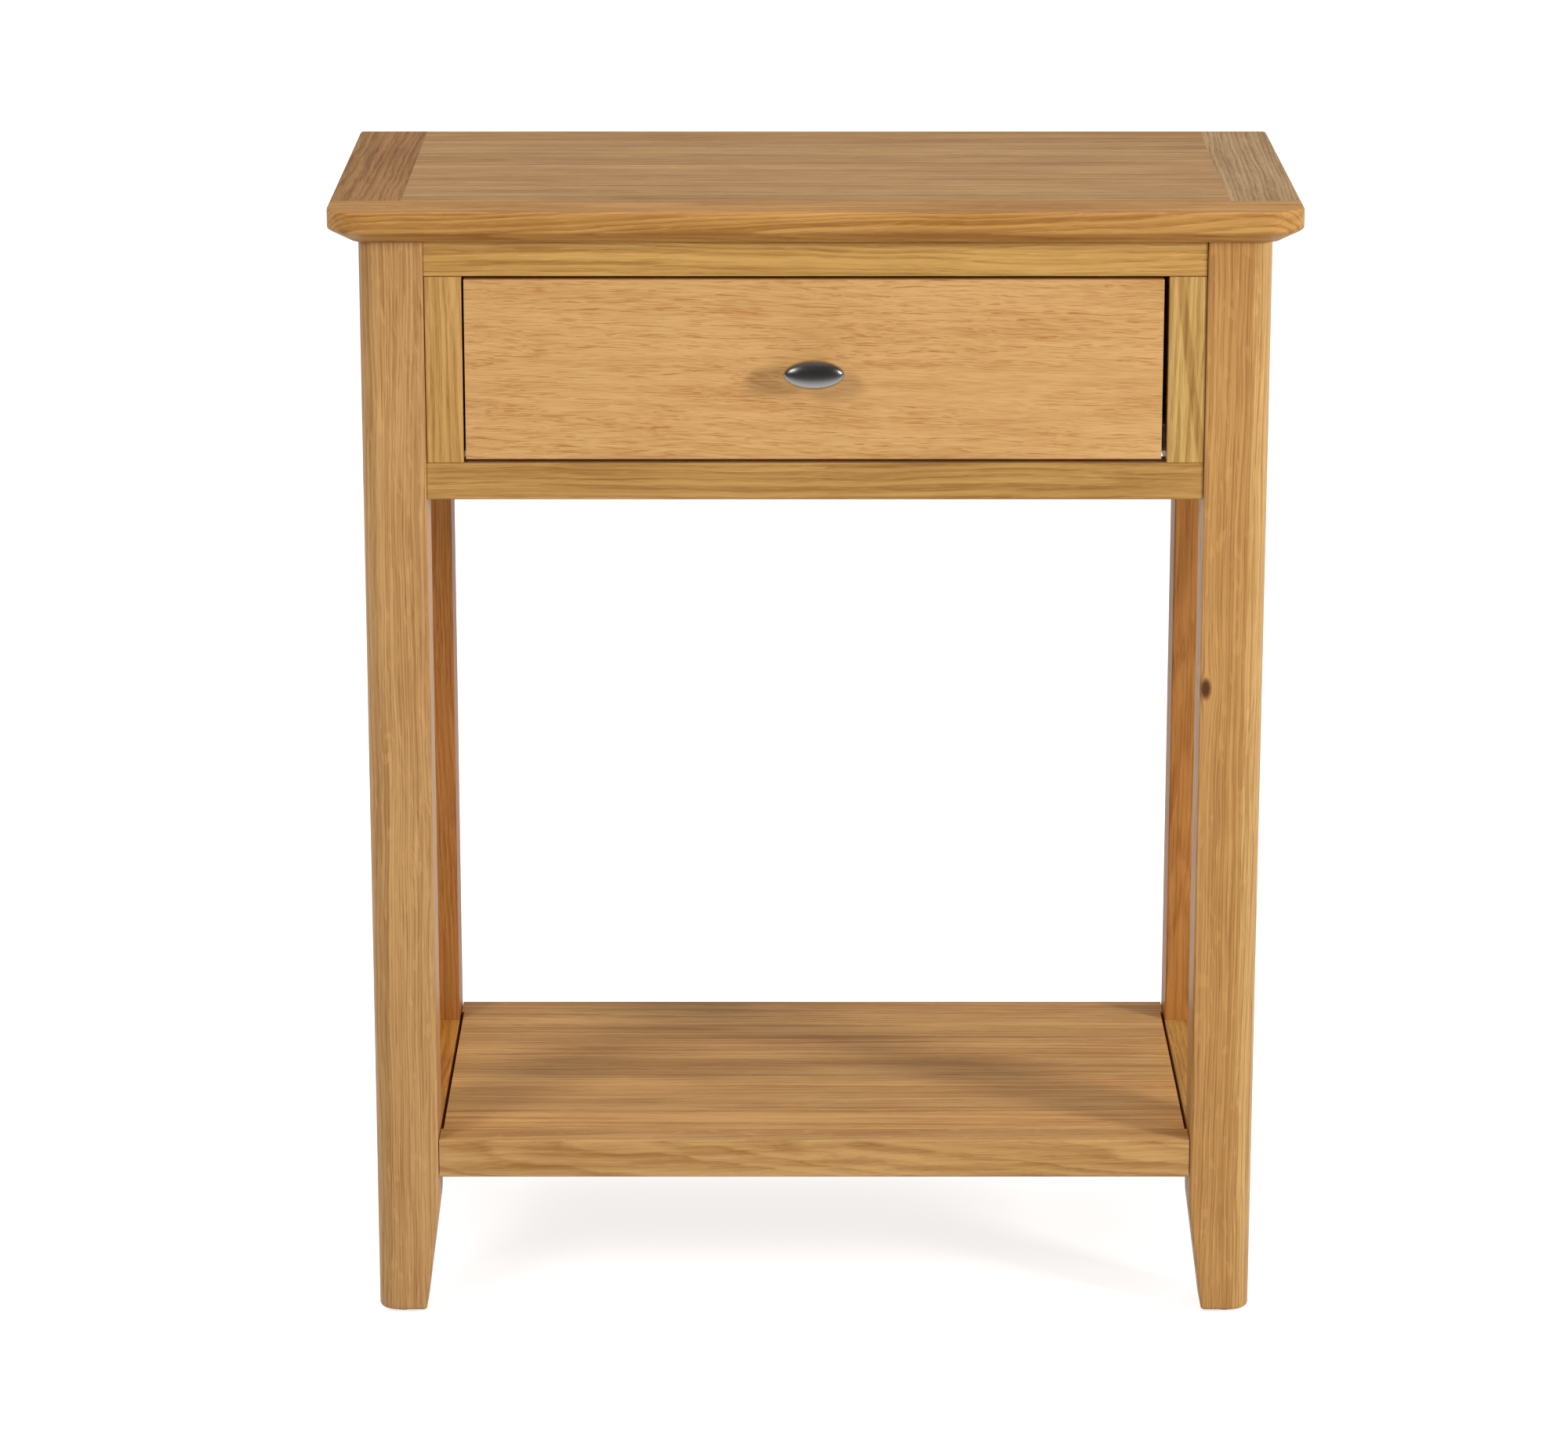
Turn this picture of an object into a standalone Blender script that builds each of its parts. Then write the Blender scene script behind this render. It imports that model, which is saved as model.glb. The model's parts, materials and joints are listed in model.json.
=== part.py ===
"""Oak side table: a banded top, four tapered legs, a low shelf and one drawer on roller runners.

Metres, +Z up, the front faces -Y. The origin is on the floor under the middle of the top.
"""

import math

import bmesh
import bpy
from mathutils import Matrix, Vector

# Overall size
WIDTH = 0.650
DEPTH = 0.330
HEIGHT = 0.785
GAP = 0.0003  # clearance between pieces that touch
CUT_MARGIN = 0.010  # how far a cutter reaches past what it cuts
EASE = 0.0012  # small chamfer on every sawn edge

# Top: a framed slab with rounded corners and a bevel under its front and sides
TOP_THICKNESS = 0.023
TOP_EDGE = 0.0145  # height of the upright part of the slab's edge, with its rounding
TOP_ROUNDING = 0.002
TOP_CORNER = 0.025  # radius of the front corners in plan
TOP_REAR_CORNER = 0.003
TOP_BEVEL = 0.0165  # how far the bevel under the slab reaches in
TOP_BEVEL_EASE = 0.001  # half the height of the narrow chamfer between bevel and upright edge
TOP_CHAMFER = 0.002
FRONT_BAND = 0.044
END_BAND = 0.048
BACK_BAND = 0.036

# Legs
LEG = 0.0435
LEG_CORNER = 0.014  # radius of the leg's outer upright edge
LEG_ARRIS = 0.0015
SIDE_OVERHANG = 0.020
FRONT_OVERHANG = 0.0195
BACK_OVERHANG = 0.003
TAPER = 0.010  # what the leg loses from each inner face at the floor
TAPER_HEIGHT = 0.080

# Frame round the drawer
RAIL_SETBACK = 0.002
RAIL_DEPTH = 0.022
APRON_SETBACK = 0.004
APRON = 0.018
TOP_RAIL_HEIGHT = 0.0236
OPENING_HEIGHT = 0.1274
OPENING_WIDTH = 0.4724
BOTTOM_RAIL_HEIGHT = 0.0252
BACK_APRON = 0.016
TENON = 0.018
TENON_THICKNESS = 0.008
TENON_SHOULDER = 0.005
TENON_ROOT = 0.004  # how deep a tenon's block reaches into its own rail
BATTEN_HEIGHT = 0.050
BATTEN_DROP = 0.006  # how far the batten reaches below the drawer opening
BLOCK = (0.030, 0.036, 0.022)
BLOCK_OUT = 0.070  # distance of the fixing blocks from the middle, along Y

# Shelf
SHELF_TOP = 0.1284
SHELF_EDGE = 0.027
SHELF_PANEL = 0.015
SHELF_BAND = 0.024
SHELF_SLIT = 0.0022  # open line between the shelf panel and the side rails
SHELF_BAND_SLIT = 0.0005
SHELF_RAIL = 0.030
CLEAT = 0.020

# Drawer
FRONT_THICKNESS = 0.020
FRONT_CLEAR_LEFT = 0.0015
FRONT_CLEAR_RIGHT = 0.0036
FRONT_CLEAR_TOP = 0.0022
FRONT_CLEAR_BOTTOM = 0.0026
RUNNER_SPACE = 0.0127  # standard room for a roller runner on each side
DRAWER_SIDE = 0.012
DRAWER_LENGTH = 0.250
DRAWER_SIDE_HEIGHT = 0.099
BOTTOM_PLY = 0.005
BOTTOM_RAISE = 0.011  # from the sides' lower edge to the ply
SIDE_RAISE = 0.0058  # from the opening's lower edge to the sides' lower edge
GROOVE = 0.005

# Roller runners
SHEET = 0.0010
RUNNER_LENGTH = 0.250
ROLLER_RADIUS = 0.008
PIN_RADIUS = 0.002
PIN_HEAD_RADIUS = 0.0034
PIN_HEAD = 0.0007
RUN_CLEAR = 0.0003
FRONT_ROLLER_Y = -0.110
REAR_ROLLER_Y = 0.110
RUNNER_SCREWS_Y = (-0.0950, 0.1215)
RUNNER_SCREW_RADIUS = 0.0015
RUNNER_SCREW_HEAD = 0.0025
RUNNER_SCREW_LENGTH = 0.0165
BATTEN_HOLE_DEPTH = 0.018
TRACK_WIDTH = 0.0098
LIP_WIDTH = 0.0042
ANGLE_FOOT = 0.010  # the part of the drawer's runner that lies under the drawer side
ANGLE_FLANGE = 0.0078
ROLLER_EDGE = 0.0006
PIN_TIP_CLEAR_FRONT = 0.0008
PIN_TIP_CLEAR_REAR = 0.0006
SHEET_CUT = 0.006  # length of a cutter that goes through one sheet

# Knob and fasteners
KNOB = (0.041, 0.0115, 0.020)
KNOB_REACH = 0.021
KNOB_POINT = 0.09  # 0 leaves an ellipse; more draws its two ends to points
KNOB_NECK = 0.0050
KNOB_FLARE = 0.0067  # height over the drawer front where the neck starts to widen
KNOB_BEND = 0.0055
KNOB_BEND_HEIGHT = 0.0030
KNOB_FOOT = 0.0065
KNOB_FOOT_EDGE = 0.0012
SCREW_RADIUS = 0.002
SCREW_HEAD = 0.0040
SCREW_POINT = 0.003
SCREW_HEAD_HEIGHT = 0.0020
TOP_SCREW_BITE = 0.013
KNOB_SCREW_BITE = 0.009
KNOB_BORE = 0.010
GLIDE_RADIUS = 0.010
GLIDE = 0.0022
GLIDE_NAIL = 0.014
GLIDE_NAIL_RADIUS = 0.001
GLIDE_NAIL_POINT = 0.002
GLIDE_ROUNDING = 0.001
ROUND_STEPS = 20

# Derived positions
LEG_OUT = WIDTH / 2 - SIDE_OVERHANG
LEG_IN = LEG_OUT - LEG
LEG_FRONT = -DEPTH / 2 + FRONT_OVERHANG
LEG_BACK = DEPTH / 2 - BACK_OVERHANG
SLAB_BOTTOM = HEIGHT - TOP_THICKNESS
FRAME_TOP = SLAB_BOTTOM - GAP
OPENING_TOP = FRAME_TOP - TOP_RAIL_HEIGHT
OPENING_BOTTOM = OPENING_TOP - OPENING_HEIGHT
FRAME_BOTTOM = OPENING_BOTTOM - BOTTOM_RAIL_HEIGHT
RAIL_FRONT = LEG_FRONT + RAIL_SETBACK
RAIL_BACK = RAIL_FRONT + RAIL_DEPTH
APRON_OUT = LEG_OUT - APRON_SETBACK
APRON_BACK = LEG_BACK - APRON_SETBACK
LEG_BOTTOM = GLIDE + GAP
BATTEN_IN = OPENING_WIDTH / 2 + GAP
BATTEN_BOTTOM = OPENING_BOTTOM - BATTEN_DROP
SIDE_OUT = OPENING_WIDTH / 2 - RUNNER_SPACE
SIDE_IN = SIDE_OUT - DRAWER_SIDE
SIDE_BOTTOM = OPENING_BOTTOM + SIDE_RAISE
SIDE_TOP = SIDE_BOTTOM + DRAWER_SIDE_HEIGHT
FRONT_BACK = RAIL_FRONT + FRONT_THICKNESS
BOX_FRONT = FRONT_BACK + GAP
BOX_BACK = BOX_FRONT + DRAWER_LENGTH
PLY_BOTTOM = SIDE_BOTTOM + BOTTOM_RAISE
DRAWER_ORIGIN = Vector((0.0, (BOX_FRONT + BOX_BACK) / 2, PLY_BOTTOM))
KNOB_Z = (OPENING_BOTTOM + OPENING_TOP) / 2
WEB_OUT = OPENING_WIDTH / 2  # outer face of the cabinet runner
TRACK_TOP = SIDE_BOTTOM - GAP - SHEET  # the face that the rear rollers run on
ROLLER_Z = TRACK_TOP + RUN_CLEAR + ROLLER_RADIUS
LIP_BOTTOM = ROLLER_Z + ROLLER_RADIUS + RUN_CLEAR
BLOCK_IN = APRON_OUT - APRON - GAP - BLOCK[0]

SIDES = (("left", -1), ("right", 1))
ENDS = (("front", -1), ("rear", 1))


# Scene

def clear_scene():
    for obj in list(bpy.data.objects):
        bpy.data.objects.remove(obj, do_unlink=True)


def new_collection(name):
    collection = bpy.data.collections.new(name)
    bpy.context.scene.collection.children.link(collection)
    return collection


def make_material(name, colour, roughness, metallic=0.0):
    material = bpy.data.materials.new(name)
    material.use_nodes = True
    shader = material.node_tree.nodes["Principled BSDF"]
    shader.inputs["Base Color"].default_value = (*colour, 1.0)
    shader.inputs["Roughness"].default_value = roughness
    shader.inputs["Metallic"].default_value = metallic
    material.diffuse_color = (*colour, 1.0)
    return material


clear_scene()
PARTS = new_collection("side_table_with_drawer")
CUTTERS = new_collection("cutters")
OAK_TOP = make_material("oak_top", (0.50, 0.31, 0.14), 0.42)
OAK_LEG = make_material("oak_leg", (0.52, 0.31, 0.13), 0.42)
OAK_RAIL = make_material("oak_rail", (0.50, 0.29, 0.10), 0.42)
OAK_SHELF = make_material("oak_shelf", (0.48, 0.28, 0.12), 0.42)
OAK_FRONT = make_material("oak_drawer_front", (0.62, 0.35, 0.16), 0.42)
PINE = make_material("drawer_box_wood", (0.62, 0.47, 0.28), 0.55)
PLY = make_material("drawer_bottom_ply", (0.60, 0.45, 0.28), 0.60)
WHITE_STEEL = make_material("white_runner_steel", (0.80, 0.80, 0.78), 0.35)
NYLON = make_material("roller_nylon", (0.78, 0.78, 0.75), 0.45)
NICKEL = make_material("brushed_nickel", (0.46, 0.45, 0.43), 0.30, 1.0)
ZINC = make_material("zinc_steel", (0.55, 0.55, 0.53), 0.35, 1.0)
GLIDE_PLASTIC = make_material("glide_plastic", (0.06, 0.045, 0.035), 0.5)


# Building blocks

def add_object(name, mesh, location, material=None, parent=None):
    """Links a part, or a cutter where no material is given, at a place in world space."""
    obj = bpy.data.objects.new(name, mesh)
    obj.location = Vector(location)
    if parent:
        obj.parent = parent
        obj.location = Vector(location) - parent.location
    if material:
        mesh.materials.append(material)
        PARTS.objects.link(obj)
        return obj
    CUTTERS.objects.link(obj)
    obj.hide_render = True
    obj.display_type = "WIRE"
    return obj


def mesh_from(bm, name):
    bmesh.ops.recalc_face_normals(bm, faces=bm.faces)
    mesh = bpy.data.meshes.new(name)
    bm.to_mesh(mesh)
    bm.free()
    return mesh


def add_box(name, low, high, material=None, parent=None):
    low, high = Vector(low), Vector(high)
    bm = bmesh.new()
    bmesh.ops.create_cube(bm, size=1.0, matrix=Matrix.Diagonal((*(high - low), 1.0)))
    return add_object(name, mesh_from(bm, name), (low + high) / 2, material, parent)


def add_board(name, low, high, material, parent=None):
    """A sawn board with its edges eased."""
    board = add_box(name, low, high, material, parent)
    bevel = board.modifiers.new("eased_edges", "BEVEL")
    bevel.width = EASE
    bevel.segments = 1
    return board


def add_cylinder(name, centre, radius, length, axis, parent=None):
    """A cutter along X, Y or Z."""
    turn = {"X": Matrix.Rotation(math.pi / 2, 4, "Y"), "Y": Matrix.Rotation(math.pi / 2, 4, "X")}
    bm = bmesh.new()
    bmesh.ops.create_cone(
        bm,
        cap_ends=True,
        segments=ROUND_STEPS,
        radius1=radius,
        radius2=radius,
        depth=length,
        matrix=turn.get(axis, Matrix.Identity(4)),
    )
    return add_object(name, mesh_from(bm, name), centre, parent=parent)


def add_boolean(obj, cutter, operation="DIFFERENCE"):
    modifier = obj.modifiers.new(cutter.name, "BOOLEAN")
    modifier.operation = operation
    modifier.object = cutter
    modifier.solver = "EXACT"


def add_turned(name, profile, centre, direction, material, parent=None):
    """Turns a profile of (radius, height) pairs about Z, then points that axis along direction."""
    mesh = bpy.data.meshes.new(name)
    loop = len(profile) > 2 and profile[0][0] > 0 and profile[-1][0] > 0
    edges = [(i, i + 1) for i in range(len(profile) - 1)]
    if loop:
        edges.append((len(profile) - 1, 0))
    mesh.from_pydata([(r, 0.0, h) for r, h in profile], edges, [])
    obj = add_object(name, mesh, centre, material, parent)
    obj.rotation_euler = Vector(direction).to_track_quat("Z", "Y").to_euler()
    screw = obj.modifiers.new("turned", "SCREW")
    screw.steps = screw.render_steps = ROUND_STEPS
    screw.use_merge_vertices = True
    screw.merge_threshold = 0.00001
    screw.use_smooth_shade = True
    return obj


def add_loft(name, sections, centre, material):
    """A closed skin over level outlines that have the same number of points."""
    bm = bmesh.new()
    rings = [[bm.verts.new(point) for point in section] for section in sections]
    count = len(rings[0])
    for lower, upper in zip(rings, rings[1:]):
        for i in range(count):
            j = (i + 1) % count
            bm.faces.new((lower[i], lower[j], upper[j], upper[i]))
    bm.faces.new(rings[0])
    bm.faces.new(rings[-1])
    return add_object(name, mesh_from(bm, name), centre, material)


def rounded_outline(low, high, radii, steps):
    """Points round a rectangle. radii and steps go from the low corner, counterclockwise."""
    corners = ((low[0], low[1]), (high[0], low[1]), (high[0], high[1]), (low[0], high[1]))
    inward = ((1, 1), (-1, 1), (-1, -1), (1, -1))
    points = []
    for quarter, (x, y) in enumerate(corners):
        radius = radii[quarter]
        for step in range(steps[quarter] + 1):
            angle = math.pi * (1 + quarter / 2 + step / steps[quarter] / 2)
            centre_x = x + inward[quarter][0] * radius
            centre_y = y + inward[quarter][1] * radius
            points.append((centre_x + radius * math.cos(angle), centre_y + radius * math.sin(angle)))
    return points


# Top

def slab_sections():
    """The slab's outline at each height, for a bevel under the front and the sides only."""
    bevel_start = HEIGHT - TOP_EDGE
    mid_rounding = TOP_ROUNDING * (1.0 - math.sqrt(0.5))
    levels = [
        (TOP_BEVEL, SLAB_BOTTOM),
        (TOP_CHAMFER, bevel_start - TOP_BEVEL_EASE),
        (0.0, bevel_start + TOP_BEVEL_EASE),
        (0.0, HEIGHT - TOP_ROUNDING),
        (mid_rounding, HEIGHT - mid_rounding),
        (TOP_ROUNDING, HEIGHT),
    ]
    sections = []
    for inset, z in levels:
        back = inset if z > bevel_start else 0.0
        low = (-WIDTH / 2 + inset, -DEPTH / 2 + inset)
        high = (WIDTH / 2 - inset, DEPTH / 2 - back)
        rear = max(TOP_REAR_CORNER - back, TOP_ROUNDING / 2)
        radii = (TOP_CORNER - inset, TOP_CORNER - inset, rear, rear)
        outline = rounded_outline(low, high, radii, (7, 7, 2, 2))
        sections.append([(x, y, z) for x, y in outline])
    return sections


def make_top():
    side = WIDTH / 2
    inner = side - END_BAND
    front = -DEPTH / 2
    band_back = front + FRONT_BAND
    back = DEPTH / 2
    panel_back = back - BACK_BAND
    margin = CUT_MARGIN
    spans = {
        "top_front_band": ((-side - margin, front - margin), (side + margin, band_back)),
        "top_end_band_left": ((-side - margin, band_back + GAP), (-inner, back + margin)),
        "top_end_band_right": ((inner, band_back + GAP), (side + margin, back + margin)),
        "top_center_panel": ((-inner + GAP, band_back + GAP), (inner - GAP, panel_back)),
        "top_back_band": ((-inner + GAP, panel_back + GAP), (inner - GAP, back + margin)),
    }
    made = {}
    for name, (low, high) in spans.items():
        piece = add_loft(name, slab_sections(), (0.0, 0.0, 0.0), OAK_TOP)
        low = (*low, SLAB_BOTTOM - margin)
        high = (*high, HEIGHT + margin)
        add_boolean(piece, add_box(name + "_extent", low, high), "INTERSECT")
        made[name] = piece
    return made


# Legs

def leg_outline(side, end, shrink, taper):
    """The leg's outline at one level: a square whose outer corner has the large radius."""
    width = LEG - taper
    arris = LEG_ARRIS
    radii = (LEG_CORNER - shrink, arris, arris, arris)
    outline = rounded_outline((shrink, shrink), (width - shrink, width - shrink), radii, (6, 1, 1, 1))
    outer_y = LEG_BACK if end > 0 else -LEG_FRONT
    return [(side * (LEG_OUT - u), end * (outer_y - v)) for u, v in outline]


def make_leg(side_name, side, end_name, end):
    levels = (
        (LEG_BOTTOM, LEG_ARRIS, TAPER),
        (LEG_BOTTOM + LEG_ARRIS, 0.0, TAPER * (1 - LEG_ARRIS / TAPER_HEIGHT)),
        (TAPER_HEIGHT, 0.0, 0.0),
        (FRAME_TOP, 0.0, 0.0),
    )
    sections = []
    for z, shrink, taper in levels:
        outline = leg_outline(side, end, shrink, taper)
        sections.append([(x, y, z) for x, y in outline])
    name = f"leg_{end_name}_{side_name}"
    leg = add_loft(name, sections, (0.0, 0.0, 0.0), OAK_LEG)
    reach = LEG / 2 - TAPER / 2
    outer_y = LEG_BACK if end > 0 else -LEG_FRONT
    foot = Vector((side * (LEG_OUT - reach), end * (outer_y - reach), 0.0))
    nail_top = GLIDE + GLIDE_NAIL + GAP
    hole_radius = GLIDE_NAIL_RADIUS + GAP
    hole = add_cylinder(name + "_nail_hole", foot, hole_radius, 2 * nail_top, "Z")
    add_boolean(leg, hole)
    make_glide(f"foot_glide_{end_name}_{side_name}", foot)
    return leg


def make_glide(name, foot):
    profile = (
        (0.0, GLIDE + GLIDE_NAIL),
        (GLIDE_NAIL_RADIUS, GLIDE + GLIDE_NAIL - GLIDE_NAIL_POINT),
        (GLIDE_NAIL_RADIUS, GLIDE),
        (GLIDE_RADIUS, GLIDE),
        (GLIDE_RADIUS, GLIDE * 0.4),
        (GLIDE_RADIUS - GLIDE_ROUNDING, 0.0),
        (0.0, 0.0),
    )
    add_turned(name, profile, foot, (0, 0, 1), GLIDE_PLASTIC)


# Rails joined to the legs with stub tenons

def add_tenon(rail, leg, low, high, tag):
    """Unites a tenon with the rail and cuts its mortise, one gap larger, from the leg."""
    name = f"{rail.name}_tenon_{tag}"
    add_boolean(rail, add_box(name, low, high), "UNION")
    grown_low = Vector(low) - Vector((GAP, GAP, GAP))
    grown_high = Vector(high) + Vector((GAP, GAP, GAP))
    add_boolean(leg, add_box(name + "_mortise", grown_low, grown_high))


def make_cross_rail(name, y_front, y_back, z_low, z_high, legs, material):
    """A rail along X between a left and a right leg."""
    end = LEG_IN - GAP
    rail = add_board(name, (-end, y_front, z_low), (end, y_back, z_high), material)
    middle = (y_front + y_back) / 2
    half = TENON_THICKNESS / 2
    for tag, side in SIDES:
        xs = sorted((side * (end - TENON_ROOT), side * (LEG_IN + TENON)))
        low = (xs[0], middle - half, z_low + TENON_SHOULDER)
        high = (xs[1], middle + half, z_high - TENON_SHOULDER)
        add_tenon(rail, legs[tag], low, high, tag)


def make_side_rail(name, x_in, x_out, z_low, z_high, legs, side):
    """A rail along Y between a front and a rear leg."""
    y_front = LEG_FRONT + LEG + GAP
    y_back = LEG_BACK - LEG - GAP
    xs = sorted((side * x_in, side * x_out))
    rail = add_board(name, (xs[0], y_front, z_low), (xs[1], y_back, z_high), OAK_RAIL)
    middle = sum(xs) / 2
    half = TENON_THICKNESS / 2
    for tag, end in ENDS:
        face = y_back if end > 0 else -y_front
        ys = sorted((end * (face - TENON_ROOT), end * (face + TENON)))
        low = (middle - half, ys[0], z_low + TENON_SHOULDER)
        high = (middle + half, ys[1], z_high - TENON_SHOULDER)
        add_tenon(rail, legs[tag], low, high, tag)


def make_frame():
    legs = {}
    for side_name, side in SIDES:
        for end_name, end in ENDS:
            legs[end_name, side_name] = make_leg(side_name, side, end_name, end)
    front_legs = {side: legs["front", side] for side, _ in SIDES}
    rear_legs = {side: legs["rear", side] for side, _ in SIDES}
    rail = (RAIL_FRONT, RAIL_BACK)
    make_cross_rail("drawer_top_rail", *rail, OPENING_TOP, FRAME_TOP, front_legs, OAK_RAIL)
    make_cross_rail("drawer_bottom_rail", *rail, FRAME_BOTTOM, OPENING_BOTTOM, front_legs, OAK_RAIL)
    apron = (APRON_BACK - BACK_APRON, APRON_BACK)
    make_cross_rail("back_apron", *apron, FRAME_BOTTOM, FRAME_TOP, rear_legs, OAK_RAIL)
    shelf_bottom = SHELF_TOP - SHELF_EDGE
    for side_name, side in SIDES:
        pair = {end: legs[end, side_name] for end, _ in ENDS}
        apron = (APRON_OUT - APRON, APRON_OUT, FRAME_BOTTOM, FRAME_TOP)
        make_side_rail(f"side_apron_{side_name}", *apron, pair, side)
        rail = (LEG_IN, LEG_IN + SHELF_RAIL, shelf_bottom, SHELF_TOP)
        make_side_rail(f"shelf_side_rail_{side_name}", *rail, pair, side)
        make_stile(side_name, side)
        make_batten(side_name, side)


def make_stile(side_name, side):
    xs = sorted((side * OPENING_WIDTH / 2, side * (LEG_IN - GAP)))
    low = (xs[0], RAIL_FRONT, OPENING_BOTTOM + GAP)
    high = (xs[1], RAIL_BACK, OPENING_TOP - GAP)
    add_board(f"drawer_stile_{side_name}", low, high, OAK_RAIL)


def make_batten(side_name, side):
    """The batten that carries the cabinet runner, fixed to the inner faces of the legs."""
    xs = sorted((side * BATTEN_IN, side * (LEG_IN - GAP)))
    low = (xs[0], RAIL_BACK + GAP, BATTEN_BOTTOM)
    high = (xs[1], APRON_BACK - BACK_APRON - GAP, BATTEN_BOTTOM + BATTEN_HEIGHT)
    batten = add_board(f"runner_batten_{side_name}", low, high, PINE)
    for index, y in enumerate(RUNNER_SCREWS_Y):
        centre = (side * BATTEN_IN, y, ROLLER_Z)
        name = f"runner_screw_hole_{side_name}_{index}"
        radius = RUNNER_SCREW_RADIUS + GAP
        add_boolean(batten, add_cylinder(name, centre, radius, 2 * BATTEN_HOLE_DEPTH, "X"))


# Blocks and screws that hold the top

def make_top_fixings(panel):
    for side_name, side in SIDES:
        for end_name, end in ENDS:
            make_top_fixing(f"{end_name}_{side_name}", side, end * BLOCK_OUT, panel)


def make_top_fixing(tag, side, y, panel):
    width, length, height = BLOCK
    xs = sorted((side * BLOCK_IN, side * (BLOCK_IN + width)))
    low = (xs[0], y - length / 2, FRAME_TOP - height)
    high = (xs[1], y + length / 2, FRAME_TOP)
    block = add_board("top_fixing_block_" + tag, low, high, PINE)
    foot = Vector((sum(xs) / 2, y, FRAME_TOP - height))
    screw_length = height + TOP_SCREW_BITE
    hole_radius = SCREW_RADIUS + GAP
    hole_top = screw_length + GAP
    hole = add_cylinder("top_screw_hole_" + tag, foot, hole_radius, 2 * hole_top, "Z")
    add_boolean(block, hole)
    add_boolean(panel, hole)
    seat = foot - Vector((0, 0, GAP))
    make_screw("top_screw_" + tag, seat, (0, 0, 1), screw_length, SCREW_RADIUS, SCREW_HEAD)


def make_screw(name, seat, direction, length, radius, head, parent=None):
    """A pan-head screw: its head's underside is at seat and its point lies along direction."""
    profile = (
        (0.0, length),
        (radius, length - SCREW_POINT),
        (radius, 0.0),
        (head, 0.0),
        (head, -SCREW_HEAD_HEIGHT * 0.5),
        (head * 0.7, -SCREW_HEAD_HEIGHT * 0.9),
        (0.0, -SCREW_HEAD_HEIGHT),
    )
    add_turned(name, profile, seat, direction, ZINC, parent)


# Shelf

def make_shelf():
    bottom = SHELF_TOP - SHELF_EDGE
    band_x = LEG_IN - SHELF_BAND_SLIT
    panel_x = LEG_IN - SHELF_SLIT
    front = LEG_FRONT + RAIL_SETBACK / 2
    panel_front = front + SHELF_BAND + GAP
    panel_back = LEG_BACK - SHELF_BAND - GAP
    panel_bottom = SHELF_TOP - SHELF_PANEL
    low = (-band_x, front, bottom)
    high = (band_x, front + SHELF_BAND, SHELF_TOP)
    add_board("shelf_front_band", low, high, OAK_SHELF)
    low = (-band_x, LEG_BACK - SHELF_BAND, bottom)
    high = (band_x, LEG_BACK, SHELF_TOP)
    add_board("shelf_back_band", low, high, OAK_SHELF)
    low = (-panel_x, panel_front, panel_bottom)
    high = (panel_x, panel_back, SHELF_TOP)
    add_board("shelf_panel", low, high, OAK_SHELF)
    for side_name, side in SIDES:
        xs = sorted((side * (LEG_IN - GAP - CLEAT), side * (LEG_IN - GAP)))
        low = (xs[0], panel_front, bottom + EASE)
        high = (xs[1], panel_back, panel_bottom - GAP)
        add_board(f"shelf_cleat_{side_name}", low, high, PINE)


# Drawer

def add_drawer_slide():
    """The empty that carries the drawer: it slides along -Y."""
    slide = bpy.data.objects.new("drawer_slide", None)
    slide.location = DRAWER_ORIGIN
    PARTS.objects.link(slide)
    return slide


def cut_groove(board, low, high, slide):
    add_boolean(board, add_box(board.name + "_groove", low, high, parent=slide))


def make_drawer(slide):
    groove_low = PLY_BOTTOM - GAP
    groove_high = PLY_BOTTOM + BOTTOM_PLY + GAP
    ply_x = SIDE_IN + GROOVE
    make_drawer_front(slide, groove_low, groove_high)
    for side_name, side in SIDES:
        xs = sorted((side * SIDE_IN, side * SIDE_OUT))
        low = (xs[0], BOX_FRONT, SIDE_BOTTOM)
        high = (xs[1], BOX_BACK, SIDE_TOP)
        board = add_board(f"drawer_side_{side_name}", low, high, PINE, slide)
        xs = sorted((side * (SIDE_IN - CUT_MARGIN), side * (ply_x + GAP)))
        low = (xs[0], BOX_FRONT - CUT_MARGIN, groove_low)
        high = (xs[1], BOX_BACK + CUT_MARGIN, groove_high)
        cut_groove(board, low, high, slide)
    low = (-SIDE_IN + GAP, BOX_BACK - DRAWER_SIDE, groove_high)
    high = (SIDE_IN - GAP, BOX_BACK, SIDE_TOP)
    add_board("drawer_back", low, high, PINE, slide)
    low = (-ply_x, FRONT_BACK - GROOVE, PLY_BOTTOM)
    high = (ply_x, BOX_BACK, PLY_BOTTOM + BOTTOM_PLY)
    add_box("drawer_bottom", low, high, PLY, slide)


def make_drawer_front(slide, groove_low, groove_high):
    low = (-OPENING_WIDTH / 2 + FRONT_CLEAR_LEFT, RAIL_FRONT, OPENING_BOTTOM + FRONT_CLEAR_BOTTOM)
    high = (OPENING_WIDTH / 2 - FRONT_CLEAR_RIGHT, FRONT_BACK, OPENING_TOP - FRONT_CLEAR_TOP)
    front = add_board("drawer_front", low, high, OAK_FRONT, slide)
    ply_x = SIDE_IN + GROOVE + GAP
    low = (-ply_x, FRONT_BACK - GROOVE - GAP, groove_low)
    high = (ply_x, FRONT_BACK + CUT_MARGIN, groove_high)
    cut_groove(front, low, high, slide)
    centre = (knob_x(), RAIL_FRONT, KNOB_Z)
    depth = 3 * FRONT_THICKNESS
    hole = add_cylinder("knob_screw_hole", centre, SCREW_RADIUS + GAP, depth, "Y", slide)
    add_boolean(front, hole)


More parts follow.
